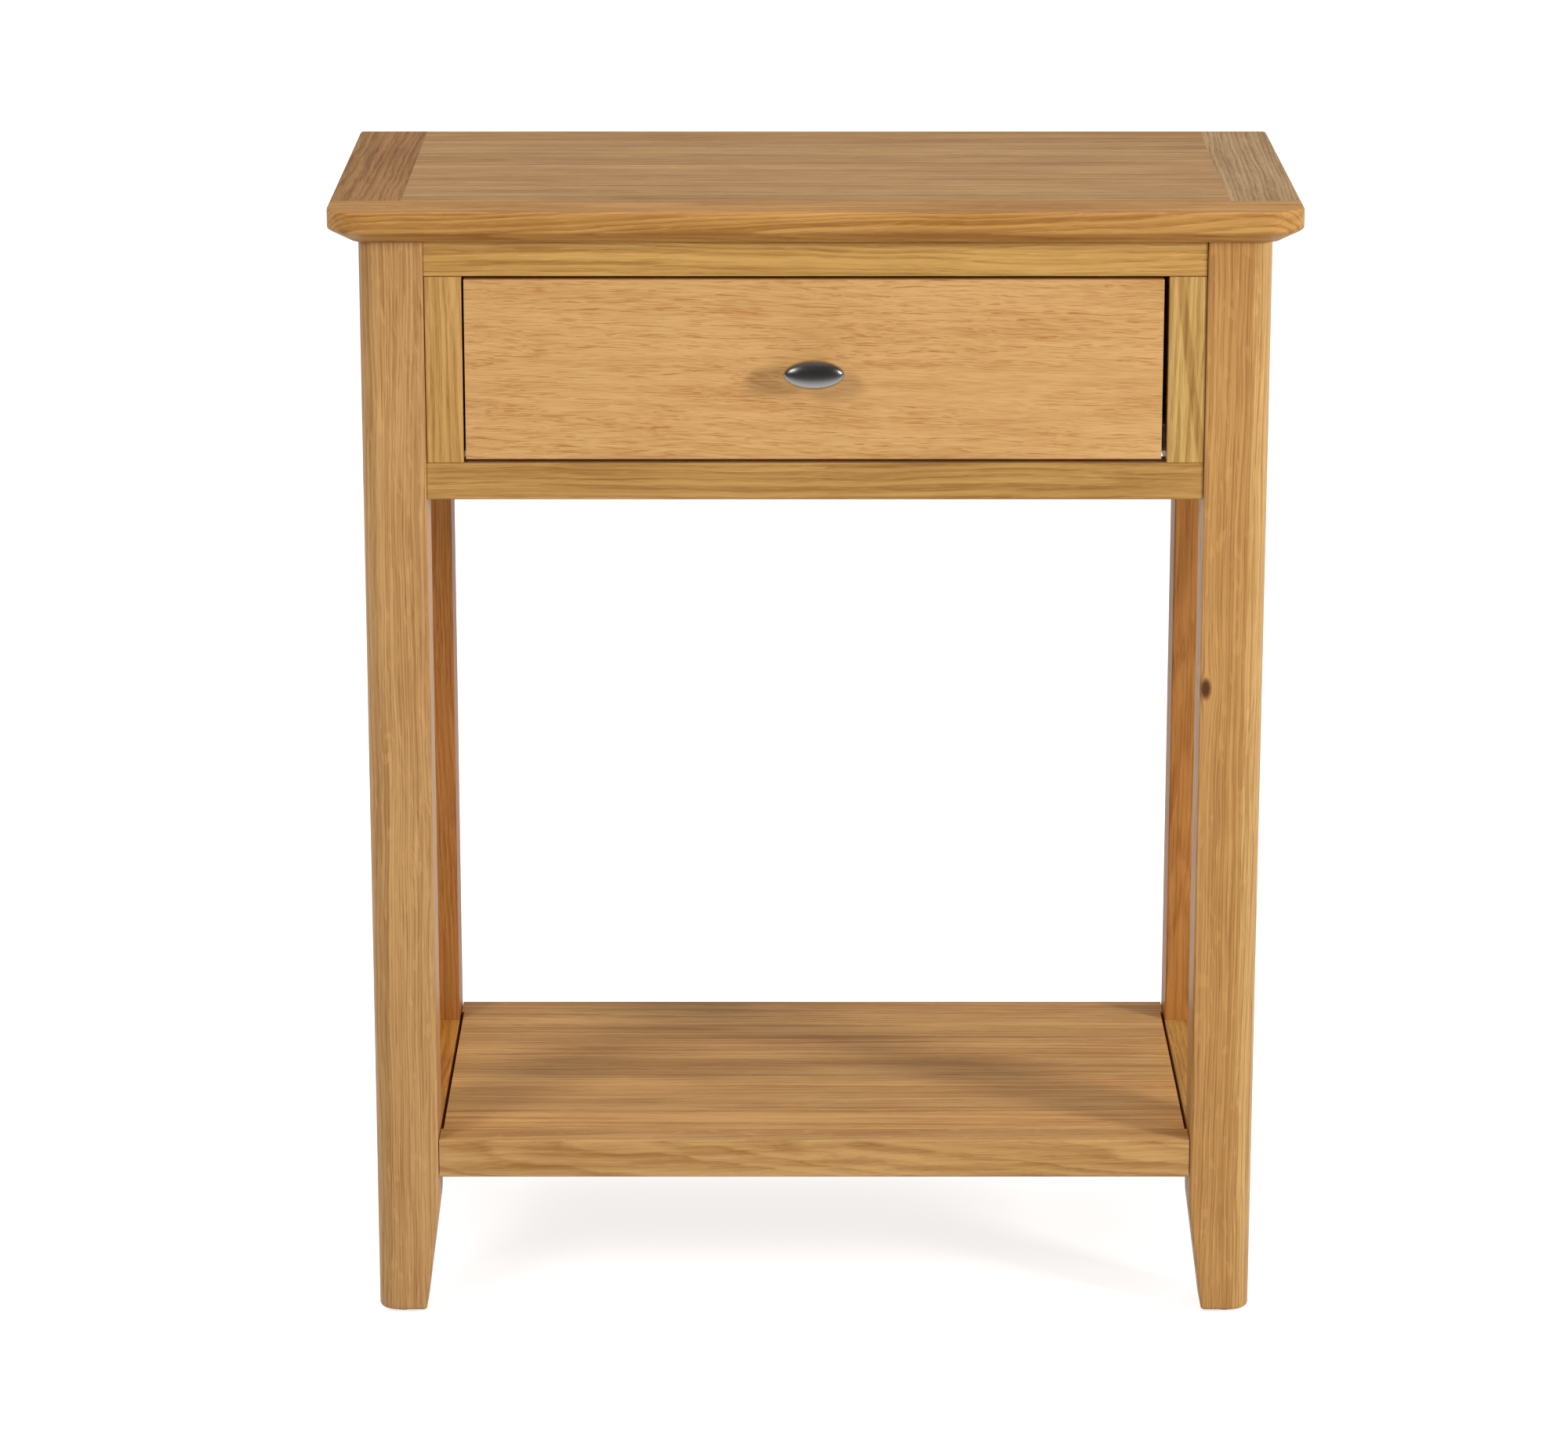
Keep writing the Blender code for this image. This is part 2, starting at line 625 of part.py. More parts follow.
def knob_x():
    """The middle of the drawer front, which hangs a little to the left in its opening."""
    return (FRONT_CLEAR_LEFT - FRONT_CLEAR_RIGHT) / 2


def make_knob(slide):
    """A cushion, its outline a pointed oval, on a short flared neck."""
    tip = RAIL_FRONT - KNOB_REACH
    centre = (knob_x(), tip + KNOB[1] / 2, KNOB_Z)
    bm = bmesh.new()
    bmesh.ops.create_uvsphere(
        bm,
        u_segments=24,
        v_segments=12,
        radius=0.5,
        matrix=Matrix.Diagonal((*KNOB, 1.0)),
    )
    for vertex in bm.verts:
        across = vertex.co.x / (KNOB[0] / 2)
        vertex.co.z *= max(1.0 - across * across, 0.0) ** KNOB_POINT
    knob = add_object("drawer_knob", mesh_from(bm, "drawer_knob"), centre, NICKEL, slide)
    knob.data.shade_smooth()
    base = Vector((knob_x(), RAIL_FRONT - GAP, KNOB_Z))
    neck_length = KNOB_REACH - KNOB[1] / 2 - GAP
    profile = (
        (0.0, neck_length),
        (KNOB_NECK, neck_length),
        (KNOB_NECK, KNOB_FLARE),
        (KNOB_BEND, KNOB_BEND_HEIGHT),
        (KNOB_FOOT, KNOB_FOOT_EDGE),
        (KNOB_FOOT, 0.0),
        (0.0, 0.0),
    )
    neck = add_turned("knob_neck", profile, base, (0, -1, 0), NICKEL, slide)
    PARTS.objects.unlink(neck)
    CUTTERS.objects.link(neck)
    neck.hide_render = True
    neck.display_type = "WIRE"
    add_boolean(knob, neck, "UNION")
    bore = (knob_x(), RAIL_FRONT, KNOB_Z)
    hole = add_cylinder("knob_bore", bore, SCREW_RADIUS + GAP, 2 * KNOB_BORE, "Y", slide)
    add_boolean(knob, hole)
    seat = (knob_x(), FRONT_BACK + GAP, KNOB_Z)
    length = FRONT_THICKNESS + GAP + KNOB_SCREW_BITE
    make_screw("knob_screw", seat, (0, -1, 0), length, SCREW_RADIUS, SCREW_HEAD, slide)


# Roller runners

def add_sheet_runner(name, profile, y_front, parent, side):
    """A folded steel strip: its section, (x, z) points, drawn along Y and thickened outwards."""
    bm = bmesh.new()
    rows = [[bm.verts.new((x, y, z)) for x, z in profile] for y in (0.0, RUNNER_LENGTH)]
    for i in range(len(profile) - 1):
        bm.faces.new((rows[0][i], rows[0][i + 1], rows[1][i + 1], rows[1][i]))
    bm.normal_update()
    mesh = bpy.data.meshes.new(name)
    bm.to_mesh(mesh)
    bm.free()
    runner = add_object(name, mesh, (0.0, y_front, 0.0), WHITE_STEEL, parent)
    solidify = runner.modifiers.new("sheet", "SOLIDIFY")
    solidify.thickness = SHEET
    solidify.offset = -side
    solidify.use_even_offset = True
    return runner


def cut_sheet(runner, centre, radius, parent=None):
    """A hole through the runner's upright web, one gap larger than what goes through it."""
    name = f"{runner.name}_hole_{len(runner.modifiers)}"
    add_boolean(runner, add_cylinder(name, centre, radius + GAP, SHEET_CUT, "X", parent))


def make_cabinet_runner(side_name, side):
    """A channel on the batten. Its lower flange is the track, and its lip keeps the rear roller down."""
    web = side * (WEB_OUT - SHEET)
    profile = (
        (side * (WEB_OUT - TRACK_WIDTH), TRACK_TOP),
        (web, TRACK_TOP),
        (web, LIP_BOTTOM),
        (side * (WEB_OUT - LIP_WIDTH), LIP_BOTTOM),
    )
    runner = add_sheet_runner(f"runner_cabinet_{side_name}", profile, RAIL_BACK + GAP, None, side)
    for (end_name, _), y in zip(ENDS, RUNNER_SCREWS_Y):
        tag = f"{end_name}_{side_name}"
        cut_sheet(runner, (web, y, ROLLER_Z), RUNNER_SCREW_RADIUS)
        seat = (side * (WEB_OUT - SHEET - GAP), y, ROLLER_Z)
        size = (RUNNER_SCREW_LENGTH, RUNNER_SCREW_RADIUS, RUNNER_SCREW_HEAD)
        make_screw("cabinet_runner_screw_" + tag, seat, (side, 0, 0), *size)
    cut_sheet(runner, (web, FRONT_ROLLER_Y, ROLLER_Z), PIN_RADIUS)


def make_drawer_runner(side_name, side, slide):
    """An angle under the drawer side, with a flange turned out that rides on the front roller."""
    web = side * (SIDE_OUT + GAP)
    profile = (
        (side * (SIDE_OUT - ANGLE_FOOT), TRACK_TOP + SHEET),
        (web, TRACK_TOP + SHEET),
        (web, LIP_BOTTOM + SHEET),
        (side * (SIDE_OUT + ANGLE_FLANGE), LIP_BOTTOM + SHEET),
    )
    name = f"runner_drawer_{side_name}"
    runner = add_sheet_runner(name, profile, BOX_FRONT, slide, side)
    cut_sheet(runner, (web, REAR_ROLLER_Y, ROLLER_Z), PIN_RADIUS, slide)


def make_roller(name, x_low, x_high, y, slide):
    """A nylon roller with a bore, turned about X."""
    half = (x_high - x_low) / 2
    bore = PIN_RADIUS + GAP
    profile = (
        (ROLLER_RADIUS - ROLLER_EDGE, half),
        (ROLLER_RADIUS, half - ROLLER_EDGE),
        (ROLLER_RADIUS, -half + ROLLER_EDGE),
        (ROLLER_RADIUS - ROLLER_EDGE, -half),
        (bore, -half),
        (bore, half),
    )
    add_turned(name, profile, ((x_low + x_high) / 2, y, ROLLER_Z), (1, 0, 0), NYLON, slide)


def make_pin(name, root_x, tip_x, y, slide):
    """A riveted pin from the sheet at root_x to its head, whose outer face is at tip_x."""
    length = abs(tip_x - root_x)
    profile = (
        (0.0, length),
        (PIN_HEAD_RADIUS, length),
        (PIN_HEAD_RADIUS, length - PIN_HEAD),
        (PIN_RADIUS, length - PIN_HEAD),
        (PIN_RADIUS, 0.0),
        (0.0, 0.0),
    )
    direction = (1 if tip_x > root_x else -1, 0, 0)
    add_turned(name, profile, (root_x, y, ROLLER_Z), direction, ZINC, slide)


def make_runners(slide):
    for side_name, side in SIDES:
        make_cabinet_runner(side_name, side)
        make_drawer_runner(side_name, side, slide)
        web_in = WEB_OUT - SHEET
        angle_out = SIDE_OUT + GAP + SHEET
        tip = angle_out + PIN_TIP_CLEAR_FRONT
        low, high = sorted((side * (tip + PIN_HEAD + GAP), side * (web_in - GAP)))
        make_roller(f"roller_front_{side_name}", low, high, FRONT_ROLLER_Y, None)
        make_pin(f"roller_pin_front_{side_name}", side * WEB_OUT, side * tip, FRONT_ROLLER_Y, None)
        tip = web_in - PIN_TIP_CLEAR_REAR
        low, high = sorted((side * (angle_out + GAP), side * (tip - PIN_HEAD - GAP)))
        make_roller(f"roller_rear_{side_name}", low, high, REAR_ROLLER_Y, slide)
        root = side * (SIDE_OUT + GAP)
        make_pin(f"roller_pin_rear_{side_name}", root, side * tip, REAR_ROLLER_Y, slide)


def main():
    top = make_top()
    make_frame()
    make_top_fixings(top["top_center_panel"])
    make_shelf()
    slide = add_drawer_slide()
    make_drawer(slide)
    make_knob(slide)
    make_runners(slide)


main()
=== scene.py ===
"""Looks of the oak side table with a drawer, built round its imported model.

Metres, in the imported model's frame: +Z up, the front faces -Y, the floor is at 0.
"""

import json
import math
import random

import bmesh
import bpy
from mathutils import Matrix, Vector


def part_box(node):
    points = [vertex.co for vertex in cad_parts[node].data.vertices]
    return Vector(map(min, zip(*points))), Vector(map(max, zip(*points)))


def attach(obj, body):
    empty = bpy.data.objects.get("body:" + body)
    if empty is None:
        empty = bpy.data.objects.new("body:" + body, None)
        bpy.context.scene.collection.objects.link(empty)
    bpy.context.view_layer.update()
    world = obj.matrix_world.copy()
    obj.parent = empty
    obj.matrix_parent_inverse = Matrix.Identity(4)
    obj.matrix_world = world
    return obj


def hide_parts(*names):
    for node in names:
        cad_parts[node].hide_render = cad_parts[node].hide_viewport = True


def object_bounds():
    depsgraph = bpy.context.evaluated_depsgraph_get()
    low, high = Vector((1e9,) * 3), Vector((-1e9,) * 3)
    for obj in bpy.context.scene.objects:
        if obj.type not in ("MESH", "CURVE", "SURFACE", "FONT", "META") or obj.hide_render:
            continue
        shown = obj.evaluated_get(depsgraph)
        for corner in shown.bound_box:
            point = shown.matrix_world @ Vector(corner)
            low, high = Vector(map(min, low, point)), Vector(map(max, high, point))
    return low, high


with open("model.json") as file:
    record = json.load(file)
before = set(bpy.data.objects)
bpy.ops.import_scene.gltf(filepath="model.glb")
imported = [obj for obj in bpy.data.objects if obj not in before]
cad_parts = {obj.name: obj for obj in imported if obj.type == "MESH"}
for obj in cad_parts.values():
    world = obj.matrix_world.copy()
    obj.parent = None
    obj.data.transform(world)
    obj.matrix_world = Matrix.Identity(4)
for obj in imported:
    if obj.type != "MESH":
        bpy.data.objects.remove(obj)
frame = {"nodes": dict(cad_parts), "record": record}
CAD_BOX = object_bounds()

X, Y, Z = 0, 1, 2
TO_MM = (1000.0, 1000.0, 1000.0)
SIDES = (("left", -1), ("right", 1))
ENDS = (("front", -1), ("rear", 1))
BODIES = frame["record"]["behaviour"]["bodies"]
BODY_OF = {node: body for body, nodes in BODIES.items() for node in nodes}

# Shape of the edges
ARRIS = 0.0009  # rounding along a board's long edges
BUTT = 0.00025  # rounding where a board butts against another
HAIRLINE = 0.0001  # gap left at a glued joint
OPEN_JOINT = 0.0005  # gap at the right front leg, whose joints stand a little open
SLIVER = 2e-6  # edges shorter than this are merged after a Boolean

# Top
TOP_EDGE = 0.0145
TOP_ROUNDING = 0.0022
TOP_CORNER = 0.025
TOP_REAR_CORNER = 0.003
TOP_BEVEL = 0.0165
TOP_CORNER_STEPS = (14, 14, 4, 4)

# Legs
LEG_CORNER = 0.014
LEG_ARRIS = 0.0015
TAPER = 0.010
TAPER_HEIGHT = 0.080
FOOT_ROUNDING = 0.0022
LEG_CORNER_STEPS = (14, 3, 3, 3)
TAPER_BEND = 0.004  # the taper starts in a soft bend, this far above and below its height
GLIDE = 0.0022

# Knob
KNOB_POINT = 0.04  # 0 leaves an ellipse; more draws its two ends to points
KNOB_DEPTH = 0.0115
NECK_RADIUS = 0.0050
NECK_FLARE = 0.0014
NECK_FOOT = 0.0065

# Hardware: lengths in metres, and parts of a radius
SCREW_HEAD = 0.55
SCREW_SHANK = 0.50
ROLLER_BORE_HUB_HOLLOW = (0.29, 0.45, 0.80)
PIN_SHANK = 0.58
PIN_HEAD = 0.0007
PIN_EDGE = 0.0002
NAIL_RADIUS = 0.0010

# Studio
CAMERA_PLACE = (-0.021, -3.754, 1.430)
CAMERA_PITCH = 15.5
CAMERA_LENS = 126.3
FLOOR_SIZE = 60.0
FLOOR_GLOW = 0.80  # seen directly, and near the object in reflections; lights no matt surface
FLOOR_IN_GLOSS = (0.06, 0.06, 0.06)  # the floor's colour as reflections see it
WALL_LIGHT = 0.30
CEILING_LIGHT = 1.70
CEILING_GLOSS = 0.15  # the ceiling as reflections see it
ROOM_LIGHT = 0.04
LIGHT_AIM = (0.0, 0.0, 0.45)
SOFTBOXES = {
    "key_right": ((2.7, -1.9, 1.50), (0.55, 0.8), 66.0),
    "fill_left": ((-2.1, -2.6, 2.2), (0.9, 1.1), 46.0),
}
GLOSS_SHARE = 0.22  # the part of each softbox's power that shows in reflections
LIGHT_STEP = 0.01  # how far that part stands before the rest, so that neither hides the other

# Wood
MEAN_RADIUS = 90.0  # mm, turns an angle round the pith into a length
KNOT_BEND = 5.0  # mm
KNOT_COLOUR = (0.13, 0.045, 0.014)
STRIPE_DRIFT = 9.0  # mm
EARLY_WOOD = ((0.0, 0.55), (0.08, 1.0), (0.30, 0.70), (0.62, 0.16), (0.90, 0.0), (1.0, 0.55))


# Shader building

class Shader:
    """One material's nodes. Each method adds a node and returns its output."""

    def __init__(self, name):
        self.material = bpy.data.materials.new(name)
        self.material.use_nodes = True
        self.tree = self.material.node_tree
        self.surface = self.tree.nodes["Principled BSDF"]

    def feed(self, socket, value):
        if isinstance(value, bpy.types.NodeSocket):
            self.tree.links.new(value, socket)
        else:
            socket.default_value = value

    def set(self, name, value):
        self.feed(self.surface.inputs[name], value)

    def add(self, kind, values, **settings):
        node = self.tree.nodes.new(kind)
        for key, value in settings.items():
            setattr(node, key, value)
        for key, value in values.items():
            self.feed(node.inputs[key], value)
        return node

    def attribute(self, name):
        return self.add("ShaderNodeAttribute", {}, attribute_name=name).outputs["Vector"]

    def place(self):
        return self.add("ShaderNodeTexCoord", {}).outputs["Object"]

    def place_in_mm(self):
        return self.stretch(self.place(), TO_MM)

    def math(self, operation, *values):
        return self.add("ShaderNodeMath", dict(enumerate(values)), operation=operation).outputs[0]

    def stretch(self, vector, scale):
        values = {0: vector, 1: scale}
        return self.add("ShaderNodeVectorMath", values, operation="MULTIPLY").outputs[0]

    def shift(self, vector, offset):
        values = {0: vector, 1: offset}
        return self.add("ShaderNodeVectorMath", values, operation="ADD").outputs[0]

    def dot(self, a, b):
        node = self.add("ShaderNodeVectorMath", {0: a, 1: b}, operation="DOT_PRODUCT")
        return node.outputs["Value"]

    def split(self, vector):
        return self.add("ShaderNodeSeparateXYZ", {0: vector}).outputs

    def join(self, x, y, z):
        return self.add("ShaderNodeCombineXYZ", {0: x, 1: y, 2: z}).outputs[0]

    def noise(self, vector, detail=2.0, roughness=0.5, output="Fac"):
        values = {"Vector": vector, "Scale": 1.0, "Detail": detail, "Roughness": roughness}
        return self.add("ShaderNodeTexNoise", values).outputs[output]

    def streaks(self, vector, size, detail):
        """Noise drawn out along the grain: size is its length and its width in mm."""
        length, width = size
        return self.noise(self.stretch(vector, (1 / length, 1 / width, 1 / width)), detail)

    def wander(self, vector, size, reach):
        """Shifts places across the grain, by up to about half of reach each way."""
        length, width = size
        scaled = self.stretch(vector, (1 / length, 1 / width, 1 / width))
        drift = self.noise(scaled, 2.0, output="Color")
        drift = self.stretch(self.shift(drift, (-0.5, -0.5, -0.5)), (0.0, reach, reach))
        return self.shift(vector, drift)

    def band(self, value, low, high):
        """0 below low, 1 above high, smooth between."""
        values = {"Value": value, "From Min": low, "From Max": high}
        node = self.add("ShaderNodeMapRange", values, interpolation_type="SMOOTHSTEP")
        return node.outputs["Result"]

    def ramp(self, value, stops):
        node = self.add("ShaderNodeValToRGB", {0: value})
        elements = node.color_ramp.elements
        while len(elements) < len(stops):
            elements.new(0.5)
        for element, (position, level) in zip(elements, stops):
            element.position = position
            colour = (level, level, level) if isinstance(level, float) else level
            element.color = (*colour, 1.0)
        return node.outputs["Color"]

    def mix(self, factor, a, b, blend="MIX"):
        node = self.add("ShaderNodeMix", {0: factor}, data_type="RGBA", blend_type=blend)
        colours = [s for s in node.inputs if s.type == "RGBA"]
        for socket, value in zip(colours, (a, b)):
            self.feed(socket, (*value, 1.0) if isinstance(value, tuple) else value)
        return [s for s in node.outputs if s.type == "RGBA"][0]

    def bump(self, height, strength, distance):
        values = {"Height": height, "Strength": strength, "Distance": distance}
        self.set("Normal", self.add("ShaderNodeBump", values).outputs[0])


# Materials

# Colours are linear; sizes are in mm, first along the grain and then across it
WOOD = {
    "light": (0.67, 0.385, 0.142),
    "dark": (0.38, 0.175, 0.047),
    "pore_colour": (0.24, 0.082, 0.019),
    "ring": 3.4,  # width of a year's growth
    "rings": 0.50,  # strengths from here on
    "pores": 0.55,
    "pore_size": (13.0, 0.8),
    "fibres": 0.9,
    "fibre_size": (60.0, 1.0),
    "streaks": 1.7,
    "streak_size": (300.0, 4.5),
    "clouds": 0.8,
    "rays": 0.30,
    "wave": 1.4,  # how far the grain wanders, in mm
    "wave_size": (20.0, 4.0),
    "gloss": 0.30,
}


def wood_material(name, **changes):
    """Ring-porous wood, read from each corner's place in its tree."""
    wood = {**WOOD, **changes}
    s = Shader(name)
    tree_place, from_knot = place_in_tree(s, wood)
    early = early_wood(s, wood, tree_place)
    pore = s.band(s.streaks(tree_place, wood["pore_size"], 1.5), 0.52, 0.65)
    pore = s.math("MULTIPLY", pore, s.math("MULTIPLY_ADD", early, 0.65, 0.35))
    fibre = s.streaks(tree_place, wood["fibre_size"], 3.0)

    colour = wood_colour(s, wood, tree_place, early, fibre)
    colour = s.mix(s.math("MULTIPLY", pore, wood["pores"]), colour, wood["pore_colour"])
    colour = s.mix(1.0, colour, stripe_tint(s, tree_place), "MULTIPLY")
    near_knot = s.math("SUBTRACT", 1.0, s.band(from_knot, 1.2, 3.0))
    colour = s.mix(near_knot, colour, KNOT_COLOUR)
    s.set("Base Color", colour)
    s.set("Roughness", s.math("MULTIPLY_ADD", s.math("ADD", pore, fibre), 0.10, 0.36))
    s.set("Specular IOR Level", wood["gloss"])
    height = s.math("SUBTRACT", s.math("MULTIPLY", fibre, 0.35), pore)
    s.bump(height, 0.35, 0.00012)
    return s.material


def place_in_tree(s, wood):
    """Where a point lies along, out from and round the pith, and how far from a knot."""
    place = s.stretch(s.attribute("grain"), TO_MM)
    place = s.wander(place, (170.0, 33.0), 9.0)
    place = s.wander(place, wood["wave_size"], wood["wave"])
    knot = s.attribute("knot")
    from_knot = s.math("ADD", s.dot(knot, knot), 1.0)
    bend = s.math("DIVIDE", s.split(knot)[1], from_knot)
    u, v, w = s.split(place)[:3]
    v = s.math("MULTIPLY_ADD", bend, -KNOT_BEND, v)
    radius = s.math("SQRT", s.math("ADD", s.math("MULTIPLY", v, v), s.math("MULTIPLY", w, w)))
    around = s.math("MULTIPLY", s.math("ARCTAN2", v, w), MEAN_RADIUS)
    return s.join(u, radius, around), from_knot


def early_wood(s, wood, tree_place):
    """How porous the wood is at each place in its year's ring."""
    radius = s.split(tree_place)[1]
    uneven = s.noise(s.stretch(tree_place, (0.001, 0.10, 0.004)))
    years = s.math("DIVIDE", radius, wood["ring"])
    phase = s.math("ADD", years, s.math("MULTIPLY", uneven, 3.0))
    return s.ramp(s.math("FRACT", phase), EARLY_WOOD)


def wood_colour(s, wood, tree_place, early, fibre):
    """Light to dark with the rings, fibres, streaks and clouds, with paler ray flecks."""
    streak = s.streaks(tree_place, wood["streak_size"], 3.0)
    cloud = s.streaks(tree_place, (120.0, 30.0), 2.0)
    ray = s.band(s.noise(s.stretch(tree_place, (0.055, 0.10, 1.7)), 1.0), 0.60, 0.70)
    tone = s.math("MULTIPLY", early, wood["rings"])
    for pattern, strength in ((fibre, "fibres"), (streak, "streaks"), (cloud, "clouds")):
        from_mean = s.math("SUBTRACT", pattern, 0.5)
        tone = s.math("MULTIPLY_ADD", from_mean, wood[strength], tone)
    colour = s.mix(s.band(tone, -0.38, 0.78), wood["light"], wood["dark"])
    fleck = tuple(1.15 * part for part in wood["light"])
    return s.mix(s.math("MULTIPLY", ray, wood["rays"]), colour, fleck)


def stripe_tint(s, tree_place):
    """A board's colour, with one stripe along it of another colour."""
    from_middle, half_width = s.split(s.attribute("stripe"))[:2]
    drift = s.noise(s.stretch(tree_place, (0.012, 0.02, 0.02)), 2.0)
    from_middle = s.math("MULTIPLY_ADD", s.math("SUBTRACT", drift, 0.5), STRIPE_DRIFT, from_middle)
    past = s.math("SUBTRACT", s.math("ABSOLUTE", from_middle), half_width)
    return s.mix(s.band(past, -1.2, 1.2), s.attribute("stripe_tint"), s.attribute("tint"))


# How each wood differs from WOOD
WOODS = {
    "oak_top": dict(
        rings=0.45,
        pores=0.34,
        pore_size=(30.0, 0.8),
        fibres=0.8,
        fibre_size=(160.0, 1.0),
        streaks=1.3,
        streak_size=(500.0, 6.0),
        gloss=0.22,
    ),
    "oak_leg": dict(
        ring=2.2,
        rings=0.26,
        pores=0.36,
        pore_size=(30.0, 0.7),
        fibre_size=(120.0, 0.9),
        streaks=1.3,
        streak_size=(500.0, 3.0),
        clouds=0.5,
        wave=0.8,
        wave_size=(45.0, 5.0),
    ),
    "oak_rail": dict(
        light=(0.68, 0.400, 0.125),
        dark=(0.38, 0.180, 0.040),
        ring=3.8,
        rings=0.34,
        pores=0.36,
        pore_size=(26.0, 0.6),
        fibre_size=(90.0, 0.9),
        streaks=1.3,
        wave=1.0,
        wave_size=(35.0, 5.0),
    ),
    "oak_shelf": dict(
        rings=0.34,
        pores=0.30,
        pore_size=(45.0, 0.8),
        fibres=0.7,
        fibre_size=(180.0, 1.0),
        streaks=1.5,
        streak_size=(600.0, 7.0),
        gloss=0.22,
    ),
    "oak_drawer_front": dict(
        light=(0.76, 0.440, 0.168),
        dark=(0.59, 0.300, 0.095),
        pore_colour=(0.48, 0.175, 0.046),
        ring=4.2,
        rings=0.15,
        pores=0.80,
        pore_size=(18.0, 0.75),
        fibres=1.9,
        fibre_size=(28.0, 1.0),
        streaks=1.2,
        streak_size=(160.0, 9.0),
        wave=2.4,
        wave_size=(36.0, 7.0),
    ),
    "drawer_box_wood": dict(
        light=(0.66, 0.50, 0.31),
        dark=(0.52, 0.36, 0.19),
        pore_colour=(0.40, 0.26, 0.12),
        pores=0.15,
        rings=0.3,
    ),
    "softwood": dict(
        light=(0.74, 0.57, 0.35),
        dark=(0.56, 0.35, 0.15),
        pore_colour=(0.50, 0.32, 0.15),
        ring=3.2,
        rings=0.9,
        pores=0.04,
        rays=0.0,
        gloss=0.2,
    ),
}


def make_materials():
    materials = {name: wood_material(name, **changes) for name, changes in WOODS.items()}
    materials["drawer_ply"] = ply_material()
    materials["white_steel"] = powder_coat()
    materials["roller_nylon"] = nylon()
    materials["brushed_nickel"] = nickel()
    materials["zinc_steel"] = zinc()
    materials["glide_plastic"] = glide_plastic()
    return materials


def ply_material():
    """Birch ply: a faint figured face, and veneers that show as layers on the edges."""
    s = Shader("drawer_ply")
    place = s.place_in_mm()
    figure = s.noise(s.stretch(place, (0.010, 0.10, 0.4)), 3.0, 0.6)
    fibre = s.noise(s.stretch(place, (0.04, 1.4, 1.0)), 2.0)
    height = s.split(place)[2]
    layer = s.math("FRACT", s.math("DIVIDE", height, 2.0))
    colour = s.mix(s.band(figure, 0.3, 0.75), (0.66, 0.50, 0.32), (0.56, 0.39, 0.22))
    side = s.split(s.add("ShaderNodeNewGeometry", {}).outputs["Normal"])[2]
    edge = s.math("SUBTRACT", 1.0, s.math("ABSOLUTE", side))
    dark_layer = s.math("MULTIPLY", s.band(layer, 0.45, 0.55), s.math("MULTIPLY", edge, 0.55))
    colour = s.mix(dark_layer, colour, (0.36, 0.22, 0.11))
    colour = s.mix(s.math("MULTIPLY", fibre, 0.18), colour, (0.50, 0.34, 0.18))
    s.set("Base Color", colour)
    s.set("Roughness", s.math("MULTIPLY_ADD", fibre, 0.15, 0.45))
    s.bump(fibre, 0.15, 0.0001)
    return s.material


def powder_coat():
    """White epoxy over folded steel, with a slight orange peel."""
    s = Shader("white_steel")
    place = s.place_in_mm()
    peel = s.noise(s.stretch(place, (0.9, 0.9, 0.9)), 1.0)
    patch = s.noise(s.stretch(place, (0.03, 0.03, 0.03)), 2.0)
    s.set("Base Color", s.mix(patch, (0.78, 0.78, 0.75), (0.86, 0.86, 0.84)))
    s.set("Roughness", s.math("MULTIPLY_ADD", patch, 0.15, 0.28))
    s.bump(peel, 0.25, 0.00008)
    return s.material


def nylon():
    s = Shader("roller_nylon")
    place = s.place_in_mm()
    flow = s.noise(s.stretch(place, (0.25, 0.5, 0.5)), 2.0)
    grit = s.noise(s.stretch(place, (3.0, 3.0, 3.0)), 2.0)
    s.set("Base Color", s.mix(flow, (0.74, 0.73, 0.68), (0.84, 0.83, 0.79)))
    s.set("Roughness", s.math("MULTIPLY_ADD", grit, 0.2, 0.35))
    s.set("Subsurface Weight", 0.15)
    s.set("Subsurface Scale", 0.002)
    s.bump(grit, 0.12, 0.00005)
    return s.material


def nickel():
    """Satin nickel, brushed along the knob's length."""
    s = Shader("brushed_nickel")
    place = s.place_in_mm()
    brush = s.noise(s.stretch(place, (0.12, 9.0, 9.0)), 2.0, 0.6)
    smudge = s.noise(s.stretch(place, (0.10, 0.2, 0.2)), 2.0)
    s.set("Base Color", s.mix(brush, (0.46, 0.455, 0.44), (0.56, 0.55, 0.53)))
    s.set("Metallic", 1.0)
    blur = s.math("MULTIPLY_ADD", smudge, 0.08, 0.17)
    s.set("Roughness", s.math("MULTIPLY_ADD", brush, 0.10, blur))
    s.bump(brush, 0.06, 0.00003)
    return s.material


def zinc():
    s = Shader("zinc_steel")
    place = s.place_in_mm()
    cloud = s.noise(s.stretch(place, (0.5, 0.5, 0.5)), 3.0, 0.6)
    grit = s.noise(s.stretch(place, (6.0, 6.0, 6.0)), 1.0)
    s.set("Base Color", s.mix(cloud, (0.56, 0.58, 0.60), (0.68, 0.66, 0.60)))
    s.set("Metallic", 1.0)
    s.set("Roughness", s.math("MULTIPLY_ADD", cloud, 0.25, 0.20))
    s.bump(grit, 0.10, 0.00003)
    return s.material


